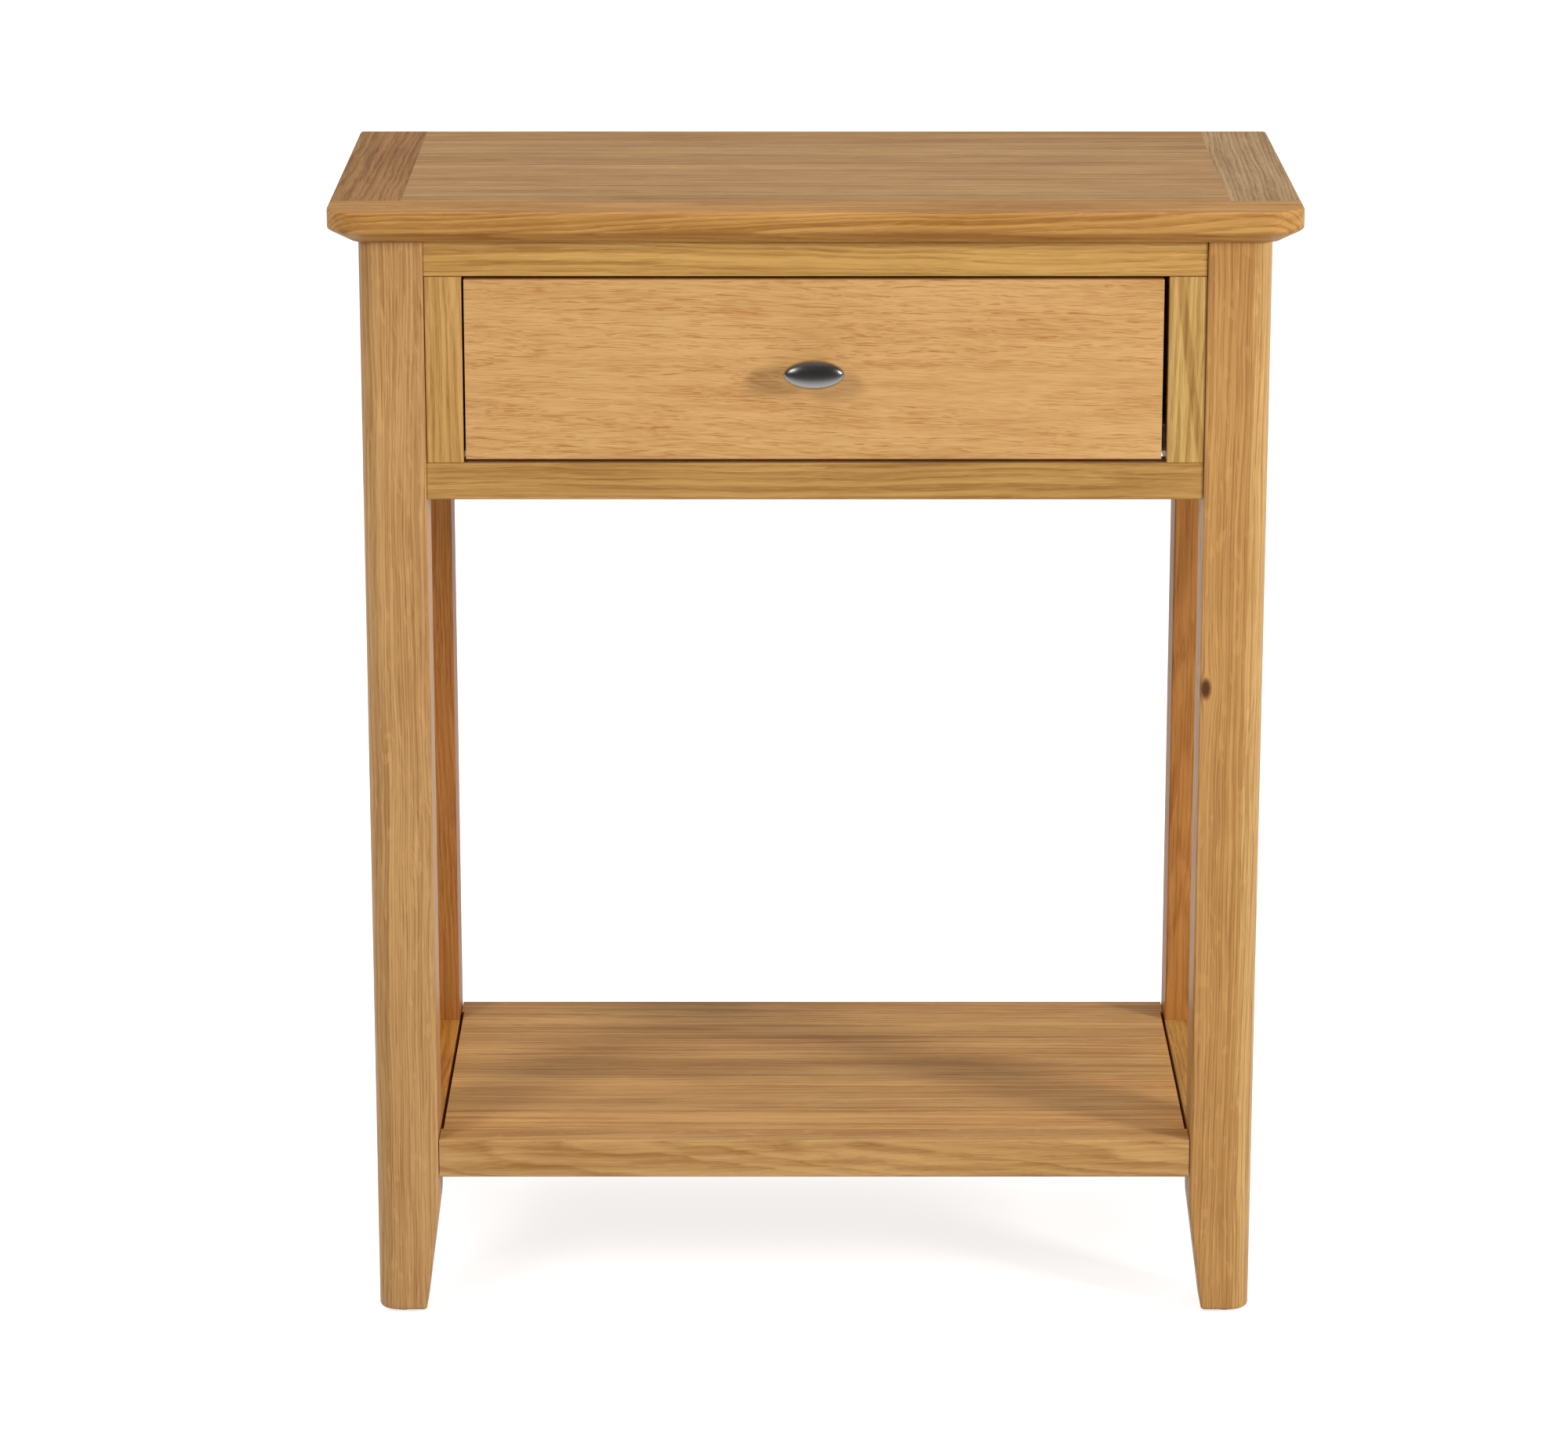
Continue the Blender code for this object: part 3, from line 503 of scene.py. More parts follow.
def glide_plastic():
    s = Shader("glide_plastic")
    place = s.place_in_mm()
    grit = s.noise(s.stretch(place, (4.0, 4.0, 4.0)), 2.0)
    scuff = s.noise(s.stretch(place, (0.3, 1.2, 0.3)), 3.0)
    worn = s.band(scuff, 0.4, 0.8)
    s.set("Base Color", s.mix(worn, (0.035, 0.024, 0.018), (0.085, 0.062, 0.048)))
    s.set("Roughness", s.math("MULTIPLY_ADD", grit, 0.25, 0.40))
    s.bump(grit, 0.2, 0.00006)
    return s.material


MATERIALS = make_materials()


# Grain

# Where the tree's pith lies from a board's middle: across its width and through its thickness
CUTS = {"plain": (0.014, 0.060), "rift": (0.062, 0.055), "quarter": (0.090, 0.012)}
SEED_STEP = 1.37  # metres along the tree between one board and the next

STORED = ("grain", "tint", "stripe", "stripe_tint", "knot")
NO_STRIPE = (0.0, -1.0, (1.0, 1.0, 1.0), 0.0)
NO_KNOT = (9.0, 9.0, 0.002)


class Board:
    """How one board or stave was sawn: its axes, its pith, the lean of the tree and its colour.

    stripe is (place from the board's middle, half width, colour, lean), and knot is
    (place along, place across, radius), all lengths in metres.
    """

    def __init__(
        self,
        seed,
        along,
        face,
        cut="plain",
        tint=(1.0, 1.0, 1.0),
        lean=(0.01, 0.02),
        stripe=NO_STRIPE,
        knot=NO_KNOT,
    ):
        draw = random.Random(seed)
        self.along = along
        self.face = face
        self.width = 3 - along - face
        self.start = seed * SEED_STEP
        across, through = CUTS[cut]
        self.across = across * draw.choice((-1, 1)) * draw.uniform(0.8, 1.3)
        self.through = through * draw.uniform(0.8, 1.3)
        self.lean = [part * draw.choice((-1, 1)) * draw.uniform(0.6, 1.4) for part in lean]
        self.tint = Vector(tint)
        self.stripe = stripe
        self.knot = knot

    def grain(self, point, middle):
        u = point[self.along]
        v = point[self.width] - middle[self.width] + self.across + self.lean[0] * u
        w = point[self.face] - middle[self.face] + self.through + self.lean[1] * u
        return (u + self.start, v, w)

    def from_stripe(self, point, middle):
        """How far a point is from the stripe's middle, and the stripe's half width, in mm."""
        place, half_width, _, lean = self.stripe
        across = point[self.width] - middle[self.width] - place
        along = point[self.along] - middle[self.along]
        return (1000 * (across + lean * along), 1000 * half_width, 0.0)

    def from_knot(self, point):
        """How far a point is from the knot along and across, counted in the knot's radii."""
        along, across, radius = self.knot
        stretch = 2.0
        away = (point[self.along] - along) / stretch
        return (away / radius, (point[self.width] - across) / radius, 0.0)

    def values(self, point, middle):
        """What is stored at a corner, in the order of STORED."""
        return (
            self.grain(point, middle),
            self.tint,
            self.from_stripe(point, middle),
            self.stripe[2],
            self.from_knot(point),
        )


def paint(obj, boards, cuts=()):
    """Stores each corner's place in its tree, its board's colour, and where its marks are.

    cuts are the places, along the boards' width, of the joints between staves.
    """
    mesh = obj.data
    for name in STORED:
        mesh.attributes.new(name, "FLOAT_VECTOR", "CORNER")
    stored = [mesh.attributes[name].data for name in STORED]
    points = [vertex.co for vertex in mesh.vertices]
    low = Vector([min(p[i] for p in points) for i in range(3)])
    high = Vector([max(p[i] for p in points) for i in range(3)])
    limits = [low[boards[0].width], *cuts, high[boards[0].width]]
    for face in mesh.polygons:
        place = face.center[boards[0].width]
        index = sum(place > cut for cut in cuts)
        board = boards[index]
        middle = (low + high) / 2
        middle[board.width] = (limits[index] + limits[index + 1]) / 2
        for corner in face.loop_indices:
            point = points[mesh.loops[corner].vertex_index]
            for data, value in zip(stored, board.values(point, middle)):
                data[corner].vector = value
    return obj


# Mesh building

def face_outwards(bm):
    """Turns the faces of one closed body outwards."""
    bmesh.ops.recalc_face_normals(bm, faces=bm.faces)
    if bm.calc_volume(signed=True) < 0:
        bmesh.ops.reverse_faces(bm, faces=bm.faces)


def finish_piece(bm, name, material, body, replaced, smooth=True):
    """Turns a bmesh into a piece that stands for CAD nodes and rides on their body."""
    face_outwards(bm)
    mesh = bpy.data.meshes.new(name)
    bm.to_mesh(mesh)
    bm.free()
    piece = bpy.data.objects.new(name, mesh)
    bpy.context.scene.collection.objects.link(piece)
    if smooth:
        mesh.shade_smooth()
        mesh.set_sharp_from_angle(angle=math.radians(40))
        weighted = piece.modifiers.new("flat_faces_stay_flat", "WEIGHTED_NORMAL")
        weighted.keep_sharp = True
    mesh.materials.append(MATERIALS[material])
    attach(piece, body)
    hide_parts(*replaced)
    return piece


def block(low, high):
    low, high = Vector(low), Vector(high)
    bm = bmesh.new()
    size = Matrix.Diagonal((*(high - low), 1.0))
    bmesh.ops.create_cube(bm, size=1.0, matrix=Matrix.Translation((low + high) / 2) @ size)
    return bm


def round_edges(bm, edges, radius, segments):
    bmesh.ops.bevel(
        bm,
        geom=edges,
        offset=radius,
        segments=segments,
        profile=0.5,
        affect="EDGES",
        clamp_overlap=True,
    )


def runs_along(edge, axis):
    direction = (edge.verts[1].co - edge.verts[0].co).normalized()
    return abs(direction[axis]) > 0.999


def board_shape(low, high, along, arris=ARRIS, butt=BUTT):
    """A board with rounded long edges and barely eased ends."""
    bm = block(low, high)
    round_edges(bm, [e for e in bm.edges if runs_along(e, along)], arris, 3)
    ends = []
    for edge in bm.edges:
        places = {round(v.co[along], 6) for v in edge.verts}
        if len(places) == 1:
            ends.append(edge)
    round_edges(bm, ends, butt, 2)
    return bm


def cut_staves(bm, axis, cuts):
    normal = Vector((0, 0, 0))
    normal[axis] = 1.0
    for place in cuts:
        point = normal * place
        geometry = bm.verts[:] + bm.edges[:] + bm.faces[:]
        bmesh.ops.bisect_plane(bm, geom=geometry, plane_co=point, plane_no=normal)


def keep_side(bm, axis, place, side):
    """Cuts a closed mesh at a plane, keeps what lies on one side, and closes the cut."""
    normal = Vector((0, 0, 0))
    normal[axis] = float(side)
    point = Vector((0, 0, 0))
    point[axis] = place
    cut = bmesh.ops.bisect_plane(
        bm,
        geom=bm.verts[:] + bm.edges[:] + bm.faces[:],
        plane_co=point,
        plane_no=normal,
        clear_inner=True,
    )
    rim = [e for e in cut["geom_cut"] if isinstance(e, bmesh.types.BMEdge)]
    bmesh.ops.contextual_create(bm, geom=rim)


def loft(sections):
    """A closed skin over level outlines that have the same number of points."""
    bm = bmesh.new()
    rings = [[bm.verts.new(point) for point in section] for section in sections]
    count = len(rings[0])
    for lower, upper in zip(rings, rings[1:]):
        for i in range(count):
            j = (i + 1) % count
            bm.faces.new((lower[i], lower[j], upper[j], upper[i]))
    bm.faces.new(rings[0])
    bm.faces.new(rings[-1])
    return bm


def rounded_outline(low, high, radii, steps):
    """Points round a rectangle. radii and steps go from the low corner, counterclockwise."""
    corners = ((low[0], low[1]), (high[0], low[1]), (high[0], high[1]), (low[0], high[1]))
    inward = ((1, 1), (-1, 1), (-1, -1), (1, -1))
    points = []
    for quarter, (x, y) in enumerate(corners):
        radius = radii[quarter]
        for step in range(steps[quarter] + 1):
            angle = math.pi * (1 + quarter / 2 + step / steps[quarter] / 2)
            centre_x = x + inward[quarter][0] * radius
            centre_y = y + inward[quarter][1] * radius
            out = (radius * math.cos(angle), radius * math.sin(angle))
            points.append((centre_x + out[0], centre_y + out[1]))
    return points


def turned_shape(profile, centre, direction, steps=48):
    """A closed profile of (radius, height) pairs turned about the line along direction."""
    turn = Vector(direction).to_track_quat("Z", "Y").to_matrix().to_4x4()
    place = Matrix.Translation(Vector(centre)) @ turn
    bm = bmesh.new()
    verts = [bm.verts.new((radius, 0.0, height)) for radius, height in profile]
    closed = profile[0][0] > 0 and profile[-1][0] > 0
    edges = [bm.edges.new(pair) for pair in zip(verts, verts[1:])]
    if closed:
        edges.append(bm.edges.new((verts[-1], verts[0])))
    bmesh.ops.spin(
        bm,
        geom=verts + edges,
        cent=(0, 0, 0),
        axis=(0, 0, 1),
        angle=math.tau,
        steps=steps,
        use_merge=True,
    )
    bmesh.ops.remove_doubles(bm, verts=bm.verts, dist=1e-6)
    bm.transform(place)
    face_outwards(bm)
    return bm


# Top

def slab_sections():
    """The slab's outline at each height: bevelled under the front and the sides."""
    half_x, half_y = CAD_BOX[1].x, CAD_BOX[1].y
    top = CAD_BOX[1].z
    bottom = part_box("top_center_panel")[0].z
    edge_bottom = top - TOP_EDGE
    levels = [(TOP_BEVEL + 0.0008, bottom), (TOP_BEVEL - 0.0002, bottom + 0.0003)]
    levels += [(TOP_BEVEL * 0.12, edge_bottom - 0.0008), (TOP_BEVEL * 0.03, edge_bottom + 0.0002)]
    levels += [(0.0, edge_bottom + 0.0014)]
    steps = 6
    for step in range(steps + 1):
        angle = math.pi / 2 * step / steps
        inset = TOP_ROUNDING * (1 - math.cos(angle))
        levels.append((inset, top - TOP_ROUNDING * (1 - math.sin(angle))))
    sections = []
    for inset, z in levels:
        back = inset if z > edge_bottom + 0.001 else 0.0
        rear = max(TOP_REAR_CORNER - back, TOP_ROUNDING / 3)
        low = (-half_x + inset, -half_y + inset)
        high = (half_x - inset, half_y - back)
        radii = (TOP_CORNER - inset, TOP_CORNER - inset, rear, rear)
        outline = rounded_outline(low, high, radii, TOP_CORNER_STEPS)
        sections.append([(x, y, z) for x, y in outline])
    return sections


def make_top():
    side_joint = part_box("top_end_band_right")[0].x
    front_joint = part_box("top_front_band")[1].y
    back_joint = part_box("top_center_panel")[1].y
    half = HAIRLINE / 2
    pieces = {
        "top_front_band": ((Y, front_joint, -1),),
        "top_end_band_left": ((Y, front_joint + half, 1), (X, -side_joint, -1)),
        "top_end_band_right": ((Y, front_joint + half, 1), (X, side_joint, 1)),
        "top_center_panel": (
            (Y, front_joint + half, 1),
            (X, -side_joint + half, 1),
            (X, side_joint - half, -1),
            (Y, back_joint, -1),
        ),
        "top_back_band": (
            (Y, back_joint + half, 1),
            (X, -side_joint + half, 1),
            (X, side_joint - half, -1),
        ),
    }
    stave_cuts = spread(front_joint, back_joint, TOP_STAVES)
    for name, cuts in pieces.items():
        bm = loft(slab_sections())
        for cut in cuts:
            keep_side(bm, *cut)
        staves = stave_cuts if name == "top_center_panel" else ()
        cut_staves(bm, Y, staves)
        piece = finish_piece(bm, name + "_oak", "oak_top", "frame", [name])
        paint(piece, TOP_BOARDS[name], staves)


def spread(low, high, shares):
    """Places that divide low to high by these shares."""
    total = sum(shares)
    places = []
    so_far = 0.0
    for share in shares[:-1]:
        so_far += share
        places.append(low + (high - low) * so_far / total)
    return places


# Legs

def leg_outline(side, end, outer, shrink, taper, size):
    near, far = shrink, size - taper - shrink
    radii = (LEG_CORNER - shrink, LEG_ARRIS, LEG_ARRIS, LEG_ARRIS)
    outline = rounded_outline((near, near), (far, far), radii, LEG_CORNER_STEPS)
    return [(side * (outer.x - u), end * (outer.y - v)) for u, v in outline]


def make_leg(side_name, side, end_name, end):
    name = f"leg_{end_name}_{side_name}"
    low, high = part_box(name)
    outer = Vector((max(abs(low.x), abs(high.x)), max(low.y * end, high.y * end), 0.0))
    size = high.x - low.x
    levels = []
    steps = 4
    for step in range(steps + 1):
        angle = math.pi / 2 * step / steps
        z = low.z + FOOT_ROUNDING * (1 - math.cos(angle))
        shrink = FOOT_ROUNDING * (1 - math.sin(angle))
        levels.append((z, shrink, TAPER * (1 - (z - low.z) / TAPER_HEIGHT)))
    bend_taper = TAPER * TAPER_BEND / TAPER_HEIGHT
    levels.append((TAPER_HEIGHT - TAPER_BEND, 0.0, bend_taper))
    levels.append((TAPER_HEIGHT - TAPER_BEND / 4, 0.0, bend_taper * 0.36))
    levels.append((TAPER_HEIGHT + TAPER_BEND, 0.0, 0.0))
    levels.append((high.z, 0.0, 0.0))
    sections = []
    for z, shrink, taper in levels:
        outline = leg_outline(side, end, outer, shrink, taper, size)
        sections.append([(x, y, z) for x, y in outline])
    piece = finish_piece(loft(sections), name + "_oak", "oak_leg", "frame", [name])
    paint(piece, [LEG_BOARDS[end_name, side_name]])


def make_legs():
    for side_name, side in SIDES:
        for end_name, end in ENDS:
            make_leg(side_name, side, end_name, end)


# Boards between the legs

def visible_box(node, along):
    """A rail's box without the tenons hidden in the legs."""
    low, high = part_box(node)
    if along == X:
        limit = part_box("leg_front_right")[0].x
        low.x, high.x = max(low.x, HAIRLINE - limit), min(high.x, limit - OPEN_JOINT)
    if along == Y:
        low.y = max(low.y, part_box("leg_front_right")[1].y + HAIRLINE)
        high.y = min(high.y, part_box("leg_rear_right")[0].y - HAIRLINE)
    return low, high


def make_board(node, material, body, board):
    low, high = visible_box(node, board.along)
    bm = board_shape(low, high, board.along)
    paint(finish_piece(bm, node + "_oak", material, body, [node]), [board])


def make_rails():
    for node, board in RAIL_BOARDS.items():
        make_board(node, "oak_rail", "frame", board)


def make_shelf():
    """The panel and its bands lie flush, so each is cut square where it meets the next."""
    front_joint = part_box("shelf_front_band")[1].y
    back_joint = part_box("shelf_back_band")[0].y
    reach = 3 * ARRIS
    for node, boards in SHELF_BOARDS.items():
        low, high = visible_box(node, X)
        cuts = []
        if node != "shelf_front_band":
            ahead = front_joint if node == "shelf_panel" else back_joint
            low.y = ahead - reach
            cuts.append((Y, ahead + HAIRLINE / 2, 1))
        if node != "shelf_back_band":
            behind = back_joint if node == "shelf_panel" else front_joint
            high.y = behind + reach
            cuts.append((Y, behind - HAIRLINE / 2, -1))
        bm = board_shape(low, high, X)
        for cut in cuts:
            keep_side(bm, *cut)
        staves = ()
        if node == "shelf_panel":
            staves = spread(front_joint, back_joint, SHELF_STAVES)
            cut_staves(bm, Y, staves)
        piece = finish_piece(bm, node + "_oak", "oak_shelf", "frame", [node])
        paint(piece, boards, staves)


def make_drawer_front():
    make_board("drawer_front", "oak_drawer_front", "drawer", FRONT_BOARD)


# Knob

def make_knob():
    """A satin cushion, its outline a pointed oval, on a flared neck."""
    low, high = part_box("drawer_knob")
    centre = (low + high) / 2
    centre.y = low.y + KNOB_DEPTH / 2
    half = Vector(((high.x - low.x) / 2, KNOB_DEPTH / 2, (high.z - low.z) / 2))
    cushion = bmesh.new()
    bmesh.ops.create_uvsphere(cushion, u_segments=64, v_segments=32, radius=1.0)
    for vertex in cushion.verts:
        x, z, y = vertex.co
        pinch = max(1.0 - x * x, 0.0) ** KNOB_POINT
        vertex.co = centre + Vector((x * half.x, -y * half.y, z * half.z * pinch))
    face_outwards(cushion)
    profile = knob_neck_profile(high.y - centre.y)
    neck = turned_shape(profile, (centre.x, high.y, centre.z), (0, -1, 0))
    knob = carve(cushion, neck, "UNION")
    finish_piece(knob, "drawer_knob_nickel", "brushed_nickel", "drawer", ["drawer_knob"])


def knob_neck_profile(length):
    """From inside the cushion down a neck that flares to its foot on the drawer front."""
    profile = [(0.0, length), (NECK_RADIUS, length)]
    steps = 8
    for step in range(steps + 1):
        along = 1 - step / steps
        flare = NECK_FLARE * (1 - along) ** 3
        profile.append((NECK_RADIUS + flare, length * (0.08 + 0.40 * along)))
    profile += [(NECK_FOOT, length * 0.05), (NECK_FOOT, 0.0001), (NECK_FOOT - 0.0001, 0.0)]
    return profile + [(0.0, 0.0)]


# Hardware

def carve(shape, tool, operation="DIFFERENCE"):
    """Cuts tool out of shape or joins them. Both are used up, and the result is a new bmesh."""
    objects = []
    for bm in (shape, tool):
        mesh = bpy.data.meshes.new("carving")
        bm.to_mesh(mesh)
        bm.free()
        obj = bpy.data.objects.new("carving", mesh)
        bpy.context.scene.collection.objects.link(obj)
        objects.append(obj)
    body, cutter = objects
    cut = body.modifiers.new("cut", "BOOLEAN")
    cut.operation = operation
    cut.object = cutter
    carved = bmesh.new()
    carved.from_object(body, bpy.context.evaluated_depsgraph_get())
    for obj in objects:
        mesh = obj.data
        bpy.data.objects.remove(obj)
        bpy.data.meshes.remove(mesh)
    bmesh.ops.dissolve_degenerate(carved, dist=SLIVER, edges=carved.edges)
    bmesh.ops.remove_doubles(carved, verts=carved.verts, dist=SLIVER)
    return carved


def rounded_profile(radius, low, high, edge, steps=4):
    """The outline of a disc's rim, both edges rounded."""
    profile = []
    for side, height in ((-1, low), (1, high)):
        for step in range(steps + 1):
            angle = math.pi / 2 * step / steps
            turn = angle if side < 0 else math.pi / 2 - angle
            out = radius - edge * (1 - math.sin(turn))
            profile.append((out, height - side * edge * (1 - math.cos(turn))))
    return profile


def add_hardware(bm, node, material):
    finish_piece(bm, node + "_finished", material, BODY_OF[node], [node])


def make_screws():
    """Pan heads with a cross recess. A screw's head is at the low end of its direction."""
    places = {"knob_screw": (0, -1, 0)}
    for side_name, side in SIDES:
        for end_name, _ in ENDS:
            places[f"cabinet_runner_screw_{end_name}_{side_name}"] = (side, 0, 0)
            places[f"top_screw_{end_name}_{side_name}"] = (0, 0, 1)
    for node, direction in places.items():
        low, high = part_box(node)
        centre, size, direction = (low + high) / 2, high - low, Vector(direction)
        length = abs(size.dot(direction))
        radius = sorted(size)[1] / 2
        start = centre - direction * length / 2
        screw = turned_shape(screw_profile(radius, length), start, direction, 32)
        add_hardware(cut_cross(screw, radius, start, direction), node, "zinc_steel")


def screw_profile(radius, length):
    """A pointed shank, then a pan head whose top is at 0."""
    head = radius * SCREW_HEAD
    shank = radius * SCREW_SHANK
    profile = [(0.0, length), (shank * 0.5, length - 0.0015), (shank, length - 0.003)]
    profile += [(shank, head + 0.0004), (shank + 0.0003, head), (radius * 0.97, head)]
    steps = 8
    for step in range(steps + 1):
        angle = math.pi / 2 * step / steps
        profile.append((radius * math.cos(angle) ** 0.6, 0.75 * head * (1 - math.sin(angle))))
    return profile


def cut_cross(screw, radius, start, direction):
    turn = direction.to_track_quat("Z", "Y").to_matrix().to_4x4()
    for axis in (X, Y):
        arm = Vector((radius * 0.17, radius * 0.17, radius * SCREW_HEAD * 0.6))
        arm[axis] = radius * 0.62
        slot = block(-arm, arm)
        slot.transform(Matrix.Translation(start) @ turn @ Matrix.Rotation(0.6, 4, "Z"))
        screw = carve(screw, slot)
    return screw


def make_rollers():
    """Moulded rollers with hollow faces, on riveted pins."""
    for side_name, side in SIDES:
        for end_name, head_side in (("front", -side), ("rear", side)):
            make_roller(f"roller_{end_name}_{side_name}")
            make_roller_pin(f"roller_pin_{end_name}_{side_name}", head_side)


def make_roller(node):
    low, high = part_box(node)
    half = (high.x - low.x) / 2
    radius = (high.z - low.z) / 2
    bore, hub, hollow = (radius * part for part in ROLLER_BORE_HUB_HOLLOW)
    depth = half * 0.25
    profile = rounded_profile(radius, -half, half, 0.0006)
    for face in (1, -1):
        hollows = [(hollow, half), (hollow - depth / 2, half - depth)]
        hollows += [(hub + depth / 2, half - depth), (hub, half), (bore, half)]
        if face < 0:
            hollows.reverse()
        profile += [(out, face * height) for out, height in hollows]
    add_hardware(turned_shape(profile, (low + high) / 2, (1, 0, 0), 64), node, "roller_nylon")


def make_roller_pin(node, head_side):
    """A plain shank, and a head with a dimple in the middle."""
    low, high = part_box(node)
    length = high.x - low.x
    radius = (high.z - low.z) / 2
    shank = radius * PIN_SHANK
    neck = length - PIN_HEAD
    profile = [(0.0, 0.0), (shank - PIN_EDGE, 0.0), (shank, PIN_EDGE), (shank, neck)]
    profile += rounded_profile(radius, neck, length, PIN_EDGE)
    profile += [(radius * 0.4, length), (radius * 0.3, length - PIN_EDGE)]
    profile += [(0.0, length - PIN_EDGE)]
    start = (low + high) / 2 - Vector((head_side * length / 2, 0, 0))
    add_hardware(turned_shape(profile, start, (head_side, 0, 0)), node, "zinc_steel")


def make_glides():
    """Nail-on glides with a rounded rim."""
    for side_name, _ in SIDES:
        for end_name, _ in ENDS:
            node = f"foot_glide_{end_name}_{side_name}"
            low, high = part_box(node)
            centre = (low + high) / 2
            radius = (high.x - low.x) / 2
            length = high.z - low.z
            profile = [(0.0, 0.0)] + rounded_profile(radius, 0.0, GLIDE, 0.0008)
            profile += [(NAIL_RADIUS, GLIDE), (NAIL_RADIUS, length - 0.002), (0.0, length)]
            start = (centre.x, centre.y, low.z)
            add_hardware(turned_shape(profile, start, (0, 0, 1)), node, "glide_plastic")


def finish_cad_nodes():
    """Gives the CAD nodes that stay in view their materials."""
    slots = {row["node"]: row["material_slot"] for row in frame["record"]["subparts"]}
    for name, node in frame["nodes"].items():
        if node.hide_render:
            continue
        node.data.materials.clear()
        node.data.materials.append(MATERIALS[slots[name]])
        if name in PLAIN_BOARDS:
            paint(node, [PLAIN_BOARDS[name]])


# Boards: seed, the axis the grain follows, the axis through the visible face, cut and colour

TOP_STAVES = (1.0, 1.25, 0.8, 1.1, 0.95, 1.2, 0.9)
TOP_TONES = (0.96, 1.03, 0.98, 1.05, 0.97, 1.02, 0.95)
SHELF_STAVES = (1.0, 1.3, 0.9, 1.1, 1.2, 0.8, 1.0)
SHELF_TONES = (1.08, 0.94, 1.05, 0.90, 1.03, 0.93, 1.0)


def staves(seed, tones, colour):
    boards = []
    for step, tone in enumerate(tones):
        tint = [tone * part for part in colour]
        boards.append(Board(seed + step, X, Z, "rift", tint, lean=(0.002, 0.01)))
    return boards


TOP_BOARDS = {
    "top_front_band": [Board(11, X, Z, "rift", (1.00, 0.92, 0.72), lean=(0.004, 0.06))],
    "top_end_band_left": [
        Board(
            12,
            Y,
            Z,
            "rift",
            (0.71, 0.60, 0.49),
            stripe=(-0.020, 0.010, (0.72, 0.65, 0.50), 0.0),
        )
    ],
    "top_end_band_right": [Board(13, Y, Z, "quarter", (0.87, 0.98, 1.30))],
    "top_center_panel": staves(20, TOP_TONES, (0.93, 0.95, 1.04)),
    "top_back_band": [Board(15, X, Z, "rift", (0.92, 0.90, 0.85))],
}
LEG_BOARDS = {
    ("front", "left"): Board(31, Z, Y, "quarter", (1.05, 1.05, 1.10), lean=(0.002, 0.01)),
    ("front", "right"): Board(
        32,
        Z,
        Y,
        "quarter",
        (1.01, 0.95, 0.85),
        lean=(0.004, 0.01),
        stripe=(0.019, 0.010, (1.14, 1.20, 1.20), 0.0),
        knot=(0.454, 0.2655, 0.0034),
    ),
    ("rear", "left"): Board(33, Z, Y, "rift", (0.78, 0.56, 0.36)),
    ("rear", "right"): Board(34, Z, Y, "plain", (0.90, 0.70, 0.48)),
}
RAIL_BOARDS = {
    # The top rail's tint is painted lighter: painted light that makes up for the shade the top
    # casts on it
    "drawer_top_rail": Board(41, X, Y, "rift", (1.12, 1.13, 1.08), lean=(0.004, 0.01)),
    "drawer_bottom_rail": Board(42, X, Y, "rift", (0.93, 0.90, 0.87), lean=(0.004, 0.01)),
    "drawer_stile_left": Board(43, Z, Y, "rift", (1.08, 1.08, 1.12), lean=(0.02, 0.02)),
    "drawer_stile_right": Board(
        44,
        Z,
        Y,
        "rift",
        (1.16, 1.28, 1.40),
        lean=(0.05, 0.02),
        stripe=(0.003, 0.003, (0.88, 0.86, 0.82), 0.14),
    ),
    "side_apron_left": Board(45, Y, X, "plain"),
    "side_apron_right": Board(46, Y, X, "plain"),
    "back_apron": Board(47, X, Y, "plain"),
    "shelf_side_rail_left": Board(48, Y, Z, "rift", (0.92, 0.66, 0.36)),
    "shelf_side_rail_right": Board(49, Y, Z, "quarter", (0.92, 0.84, 0.74)),
}
SHELF_BOARDS = {
    "shelf_front_band": [Board(51, X, Y, "plain", (1.06, 1.06, 1.06), lean=(0.003, 0.04))],
    "shelf_back_band": [Board(52, X, Y, "rift", (0.98, 0.96, 0.94))],
    "shelf_panel": staves(60, SHELF_TONES, (1.10, 1.08, 1.05)),
}
FRONT_BOARD = Board(71, X, Y, "plain", (1.02, 1.03, 1.05), lean=(0.02, 0.03))
PLAIN_BOARDS = {
    "drawer_side_left": Board(81, Y, X, "rift"),
    "drawer_side_right": Board(82, Y, X, "rift"),
    "drawer_back": Board(83, X, Y, "rift"),
    "runner_batten_left": Board(84, Y, X, "plain"),
    "runner_batten_right": Board(85, Y, X, "plain"),
    "shelf_cleat_left": Board(86, Y, X, "plain"),
    "shelf_cleat_right": Board(87, Y, X, "plain"),
    "top_fixing_block_front_left": Board(88, Y, X, "plain"),
    "top_fixing_block_front_right": Board(89, Y, X, "plain"),
    "top_fixing_block_rear_left": Board(90, Y, X, "plain"),
    "top_fixing_block_rear_right": Board(91, Y, X, "plain"),
}


# Studio

def make_camera():
    camera = bpy.data.objects.new("camera", bpy.data.cameras.new("camera"))
    camera.data.sensor_width = 36.0
    camera.data.lens = CAMERA_LENS
    camera.data.clip_end = 100.0
    camera.location = CAMERA_PLACE
    camera.rotation_euler = (math.radians(90 - CAMERA_PITCH), 0.0, 0.0)
    bpy.context.scene.collection.objects.link(camera)
    bpy.context.scene.camera = camera


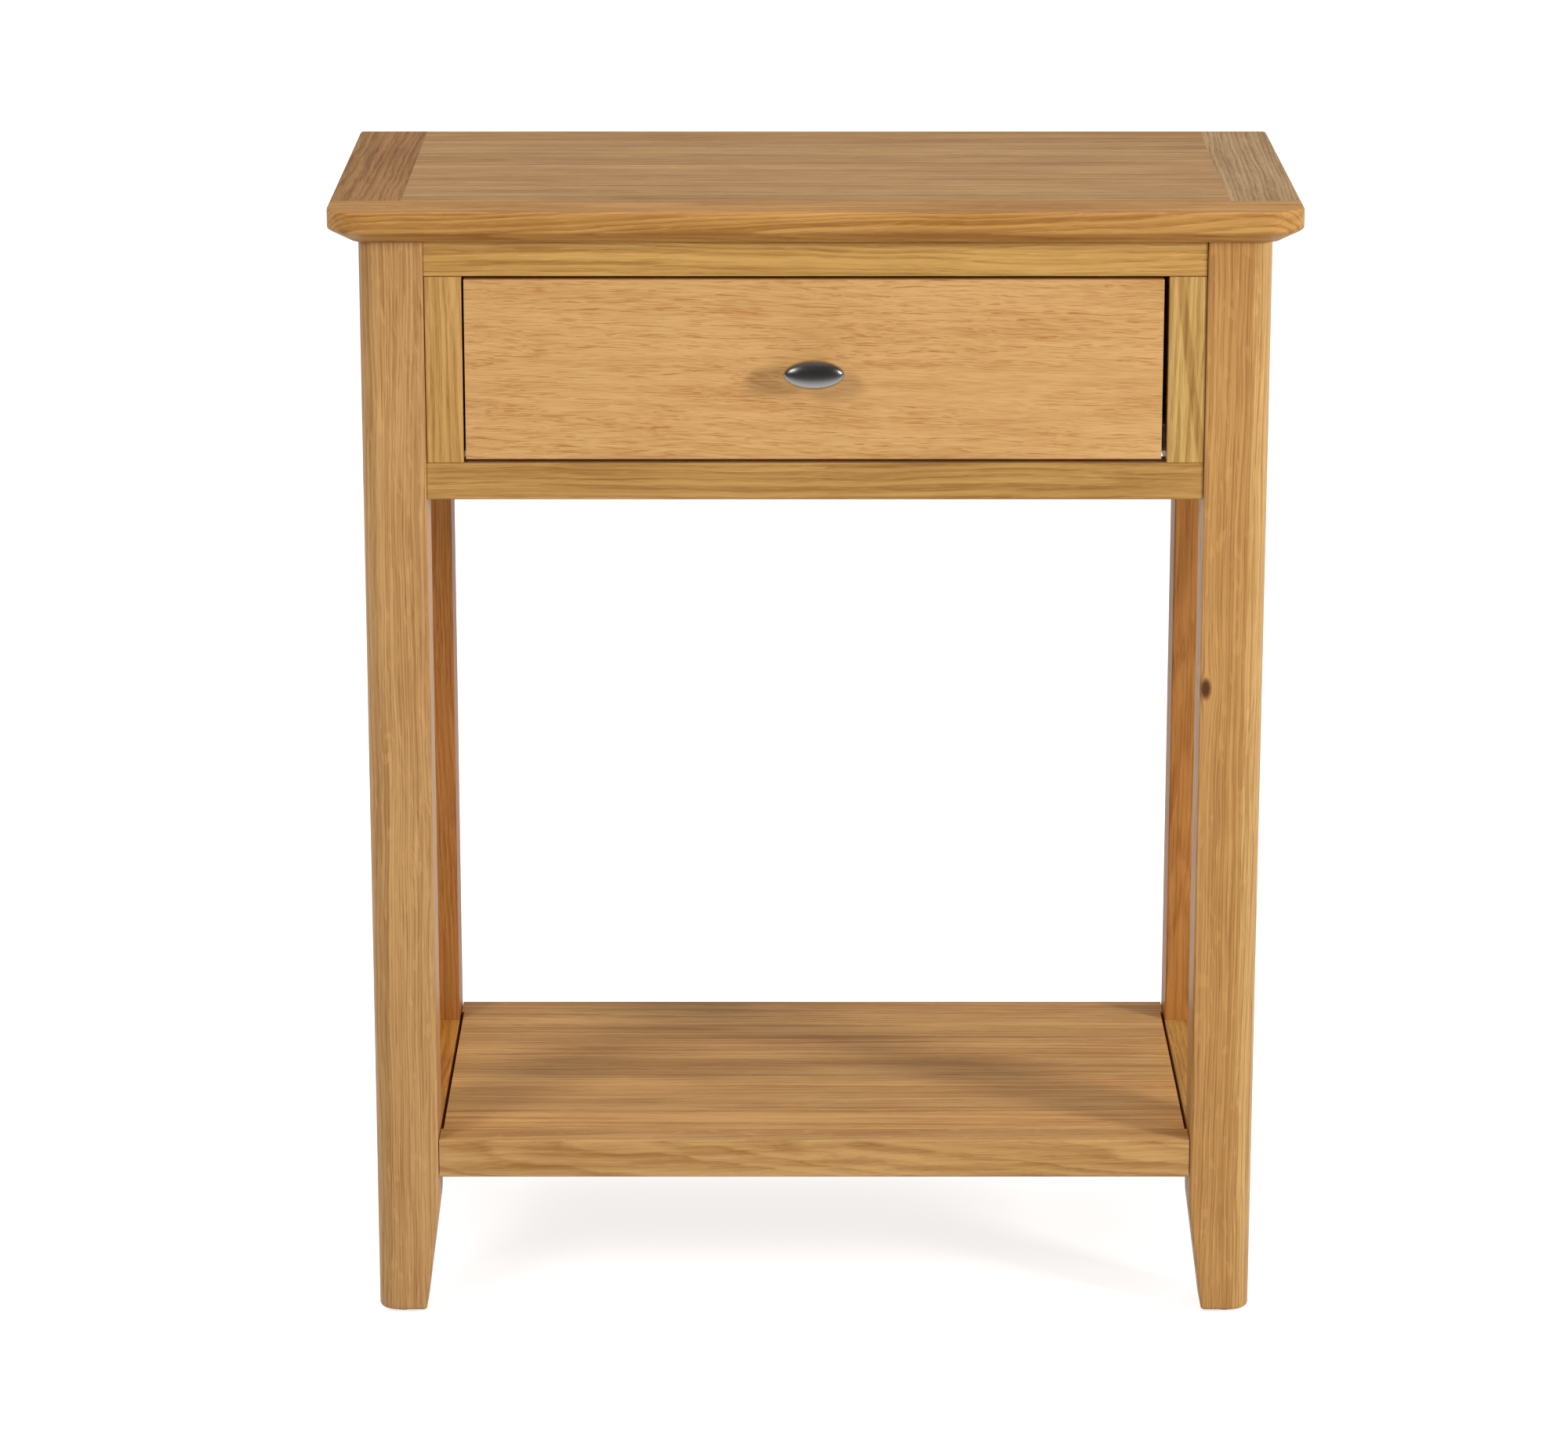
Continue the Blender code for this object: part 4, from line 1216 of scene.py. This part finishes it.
def make_softbox(name, place, size, power):
    """Two lights in one place. Reflections see only the weaker one, so satin wood stays satin."""
    for part, share, reflected in (("soft", 1 - GLOSS_SHARE, False), ("shine", GLOSS_SHARE, True)):
        light = bpy.data.lights.new(f"{name}_{part}", "AREA")
        light.shape = "RECTANGLE"
        light.size, light.size_y = size
        light.energy = power * share
        softbox = bpy.data.objects.new(f"{name}_{part}", light)
        direction = Vector(LIGHT_AIM) - Vector(place)
        softbox.location = Vector(place) + direction * (LIGHT_STEP if reflected else 0.0)
        softbox.visible_glossy = reflected
        softbox.rotation_euler = direction.to_track_quat("-Z", "Y").to_euler()
        bpy.context.scene.collection.objects.link(softbox)


def make_world():
    """A dim room with a wall behind and a bright ceiling. The camera sees it all white."""
    world = bpy.data.worlds.new("studio")
    bpy.context.scene.world = world
    world.use_nodes = True
    tree = world.node_tree
    background = tree.nodes["Background"]
    place = tree.nodes.new("ShaderNodeTexCoord")
    axes = tree.nodes.new("ShaderNodeSeparateXYZ")
    tree.links.new(place.outputs["Generated"], axes.inputs[0])
    around = world_level(tree, axes.outputs["Y"], (-0.3, 0.4), (ROOM_LIGHT, WALL_LIGHT))
    above = world_level(tree, axes.outputs["Z"], (0.66, 0.94), (0.0, 1.0))
    path = tree.nodes.new("ShaderNodeLightPath")
    ceiling = tree.nodes.new("ShaderNodeMix")
    tree.links.new(path.outputs["Is Glossy Ray"], ceiling.inputs[0])
    ceiling.inputs[2].default_value = CEILING_LIGHT
    ceiling.inputs[3].default_value = CEILING_GLOSS
    level = tree.nodes.new("ShaderNodeMix")
    tree.links.new(above, level.inputs[0])
    tree.links.new(around, level.inputs[2])
    tree.links.new(ceiling.outputs[0], level.inputs[3])
    seen = tree.nodes.new("ShaderNodeMath")
    seen.operation = "MAXIMUM"
    tree.links.new(level.outputs[0], seen.inputs[0])
    tree.links.new(path.outputs["Is Camera Ray"], seen.inputs[1])
    tree.links.new(seen.outputs[0], background.inputs["Strength"])
    background.inputs["Color"].default_value = (1.0, 1.0, 1.0, 1.0)


def world_level(tree, value, span, levels):
    node = tree.nodes.new("ShaderNodeMapRange")
    node.interpolation_type = "SMOOTHSTEP"
    tree.links.new(value, node.inputs["Value"])
    names = ("From Min", "From Max", "To Min", "To Max")
    for name, level in zip(names, (*span, *levels)):
        node.inputs[name].default_value = level
    return node.outputs["Result"]


def make_floor():
    bm = bmesh.new()
    bmesh.ops.create_grid(bm, x_segments=1, y_segments=1, size=FLOOR_SIZE / 2)
    mesh = bpy.data.meshes.new("floor")
    bm.to_mesh(mesh)
    bm.free()
    floor = bpy.data.objects.new("floor", mesh)
    bpy.context.scene.collection.objects.link(floor)
    s = Shader("pale_floor")
    path = s.add("ShaderNodeLightPath", {}).outputs
    cloud = s.noise(s.stretch(s.place(), (3.0, 3.0, 3.0)), 2.0)
    pale = s.mix(cloud, (0.50, 0.50, 0.50), (0.53, 0.53, 0.53))
    s.set("Base Color", s.mix(path["Is Glossy Ray"], pale, FLOOR_IN_GLOSS))
    s.set("Roughness", 0.9)
    s.set("Emission Color", (1.0, 1.0, 1.0, 1.0))
    near = s.band(s.split(s.place())[1], -1.7, 0.0)
    reflected = s.math("MULTIPLY", path["Is Glossy Ray"], near)
    seen = s.math("MAXIMUM", path["Is Camera Ray"], reflected)
    s.set("Emission Strength", s.math("MULTIPLY", seen, FLOOR_GLOW))
    mesh.materials.append(s.material)


def make_studio():
    bpy.context.scene.view_settings.view_transform = "Standard"
    make_camera()
    make_world()
    make_floor()
    for name, (place, size, power) in SOFTBOXES.items():
        make_softbox(name, place, size, power)


make_studio()
make_top()
make_legs()
make_rails()
make_shelf()
make_drawer_front()
make_knob()
make_screws()
make_rollers()
make_glides()
finish_cad_nodes()
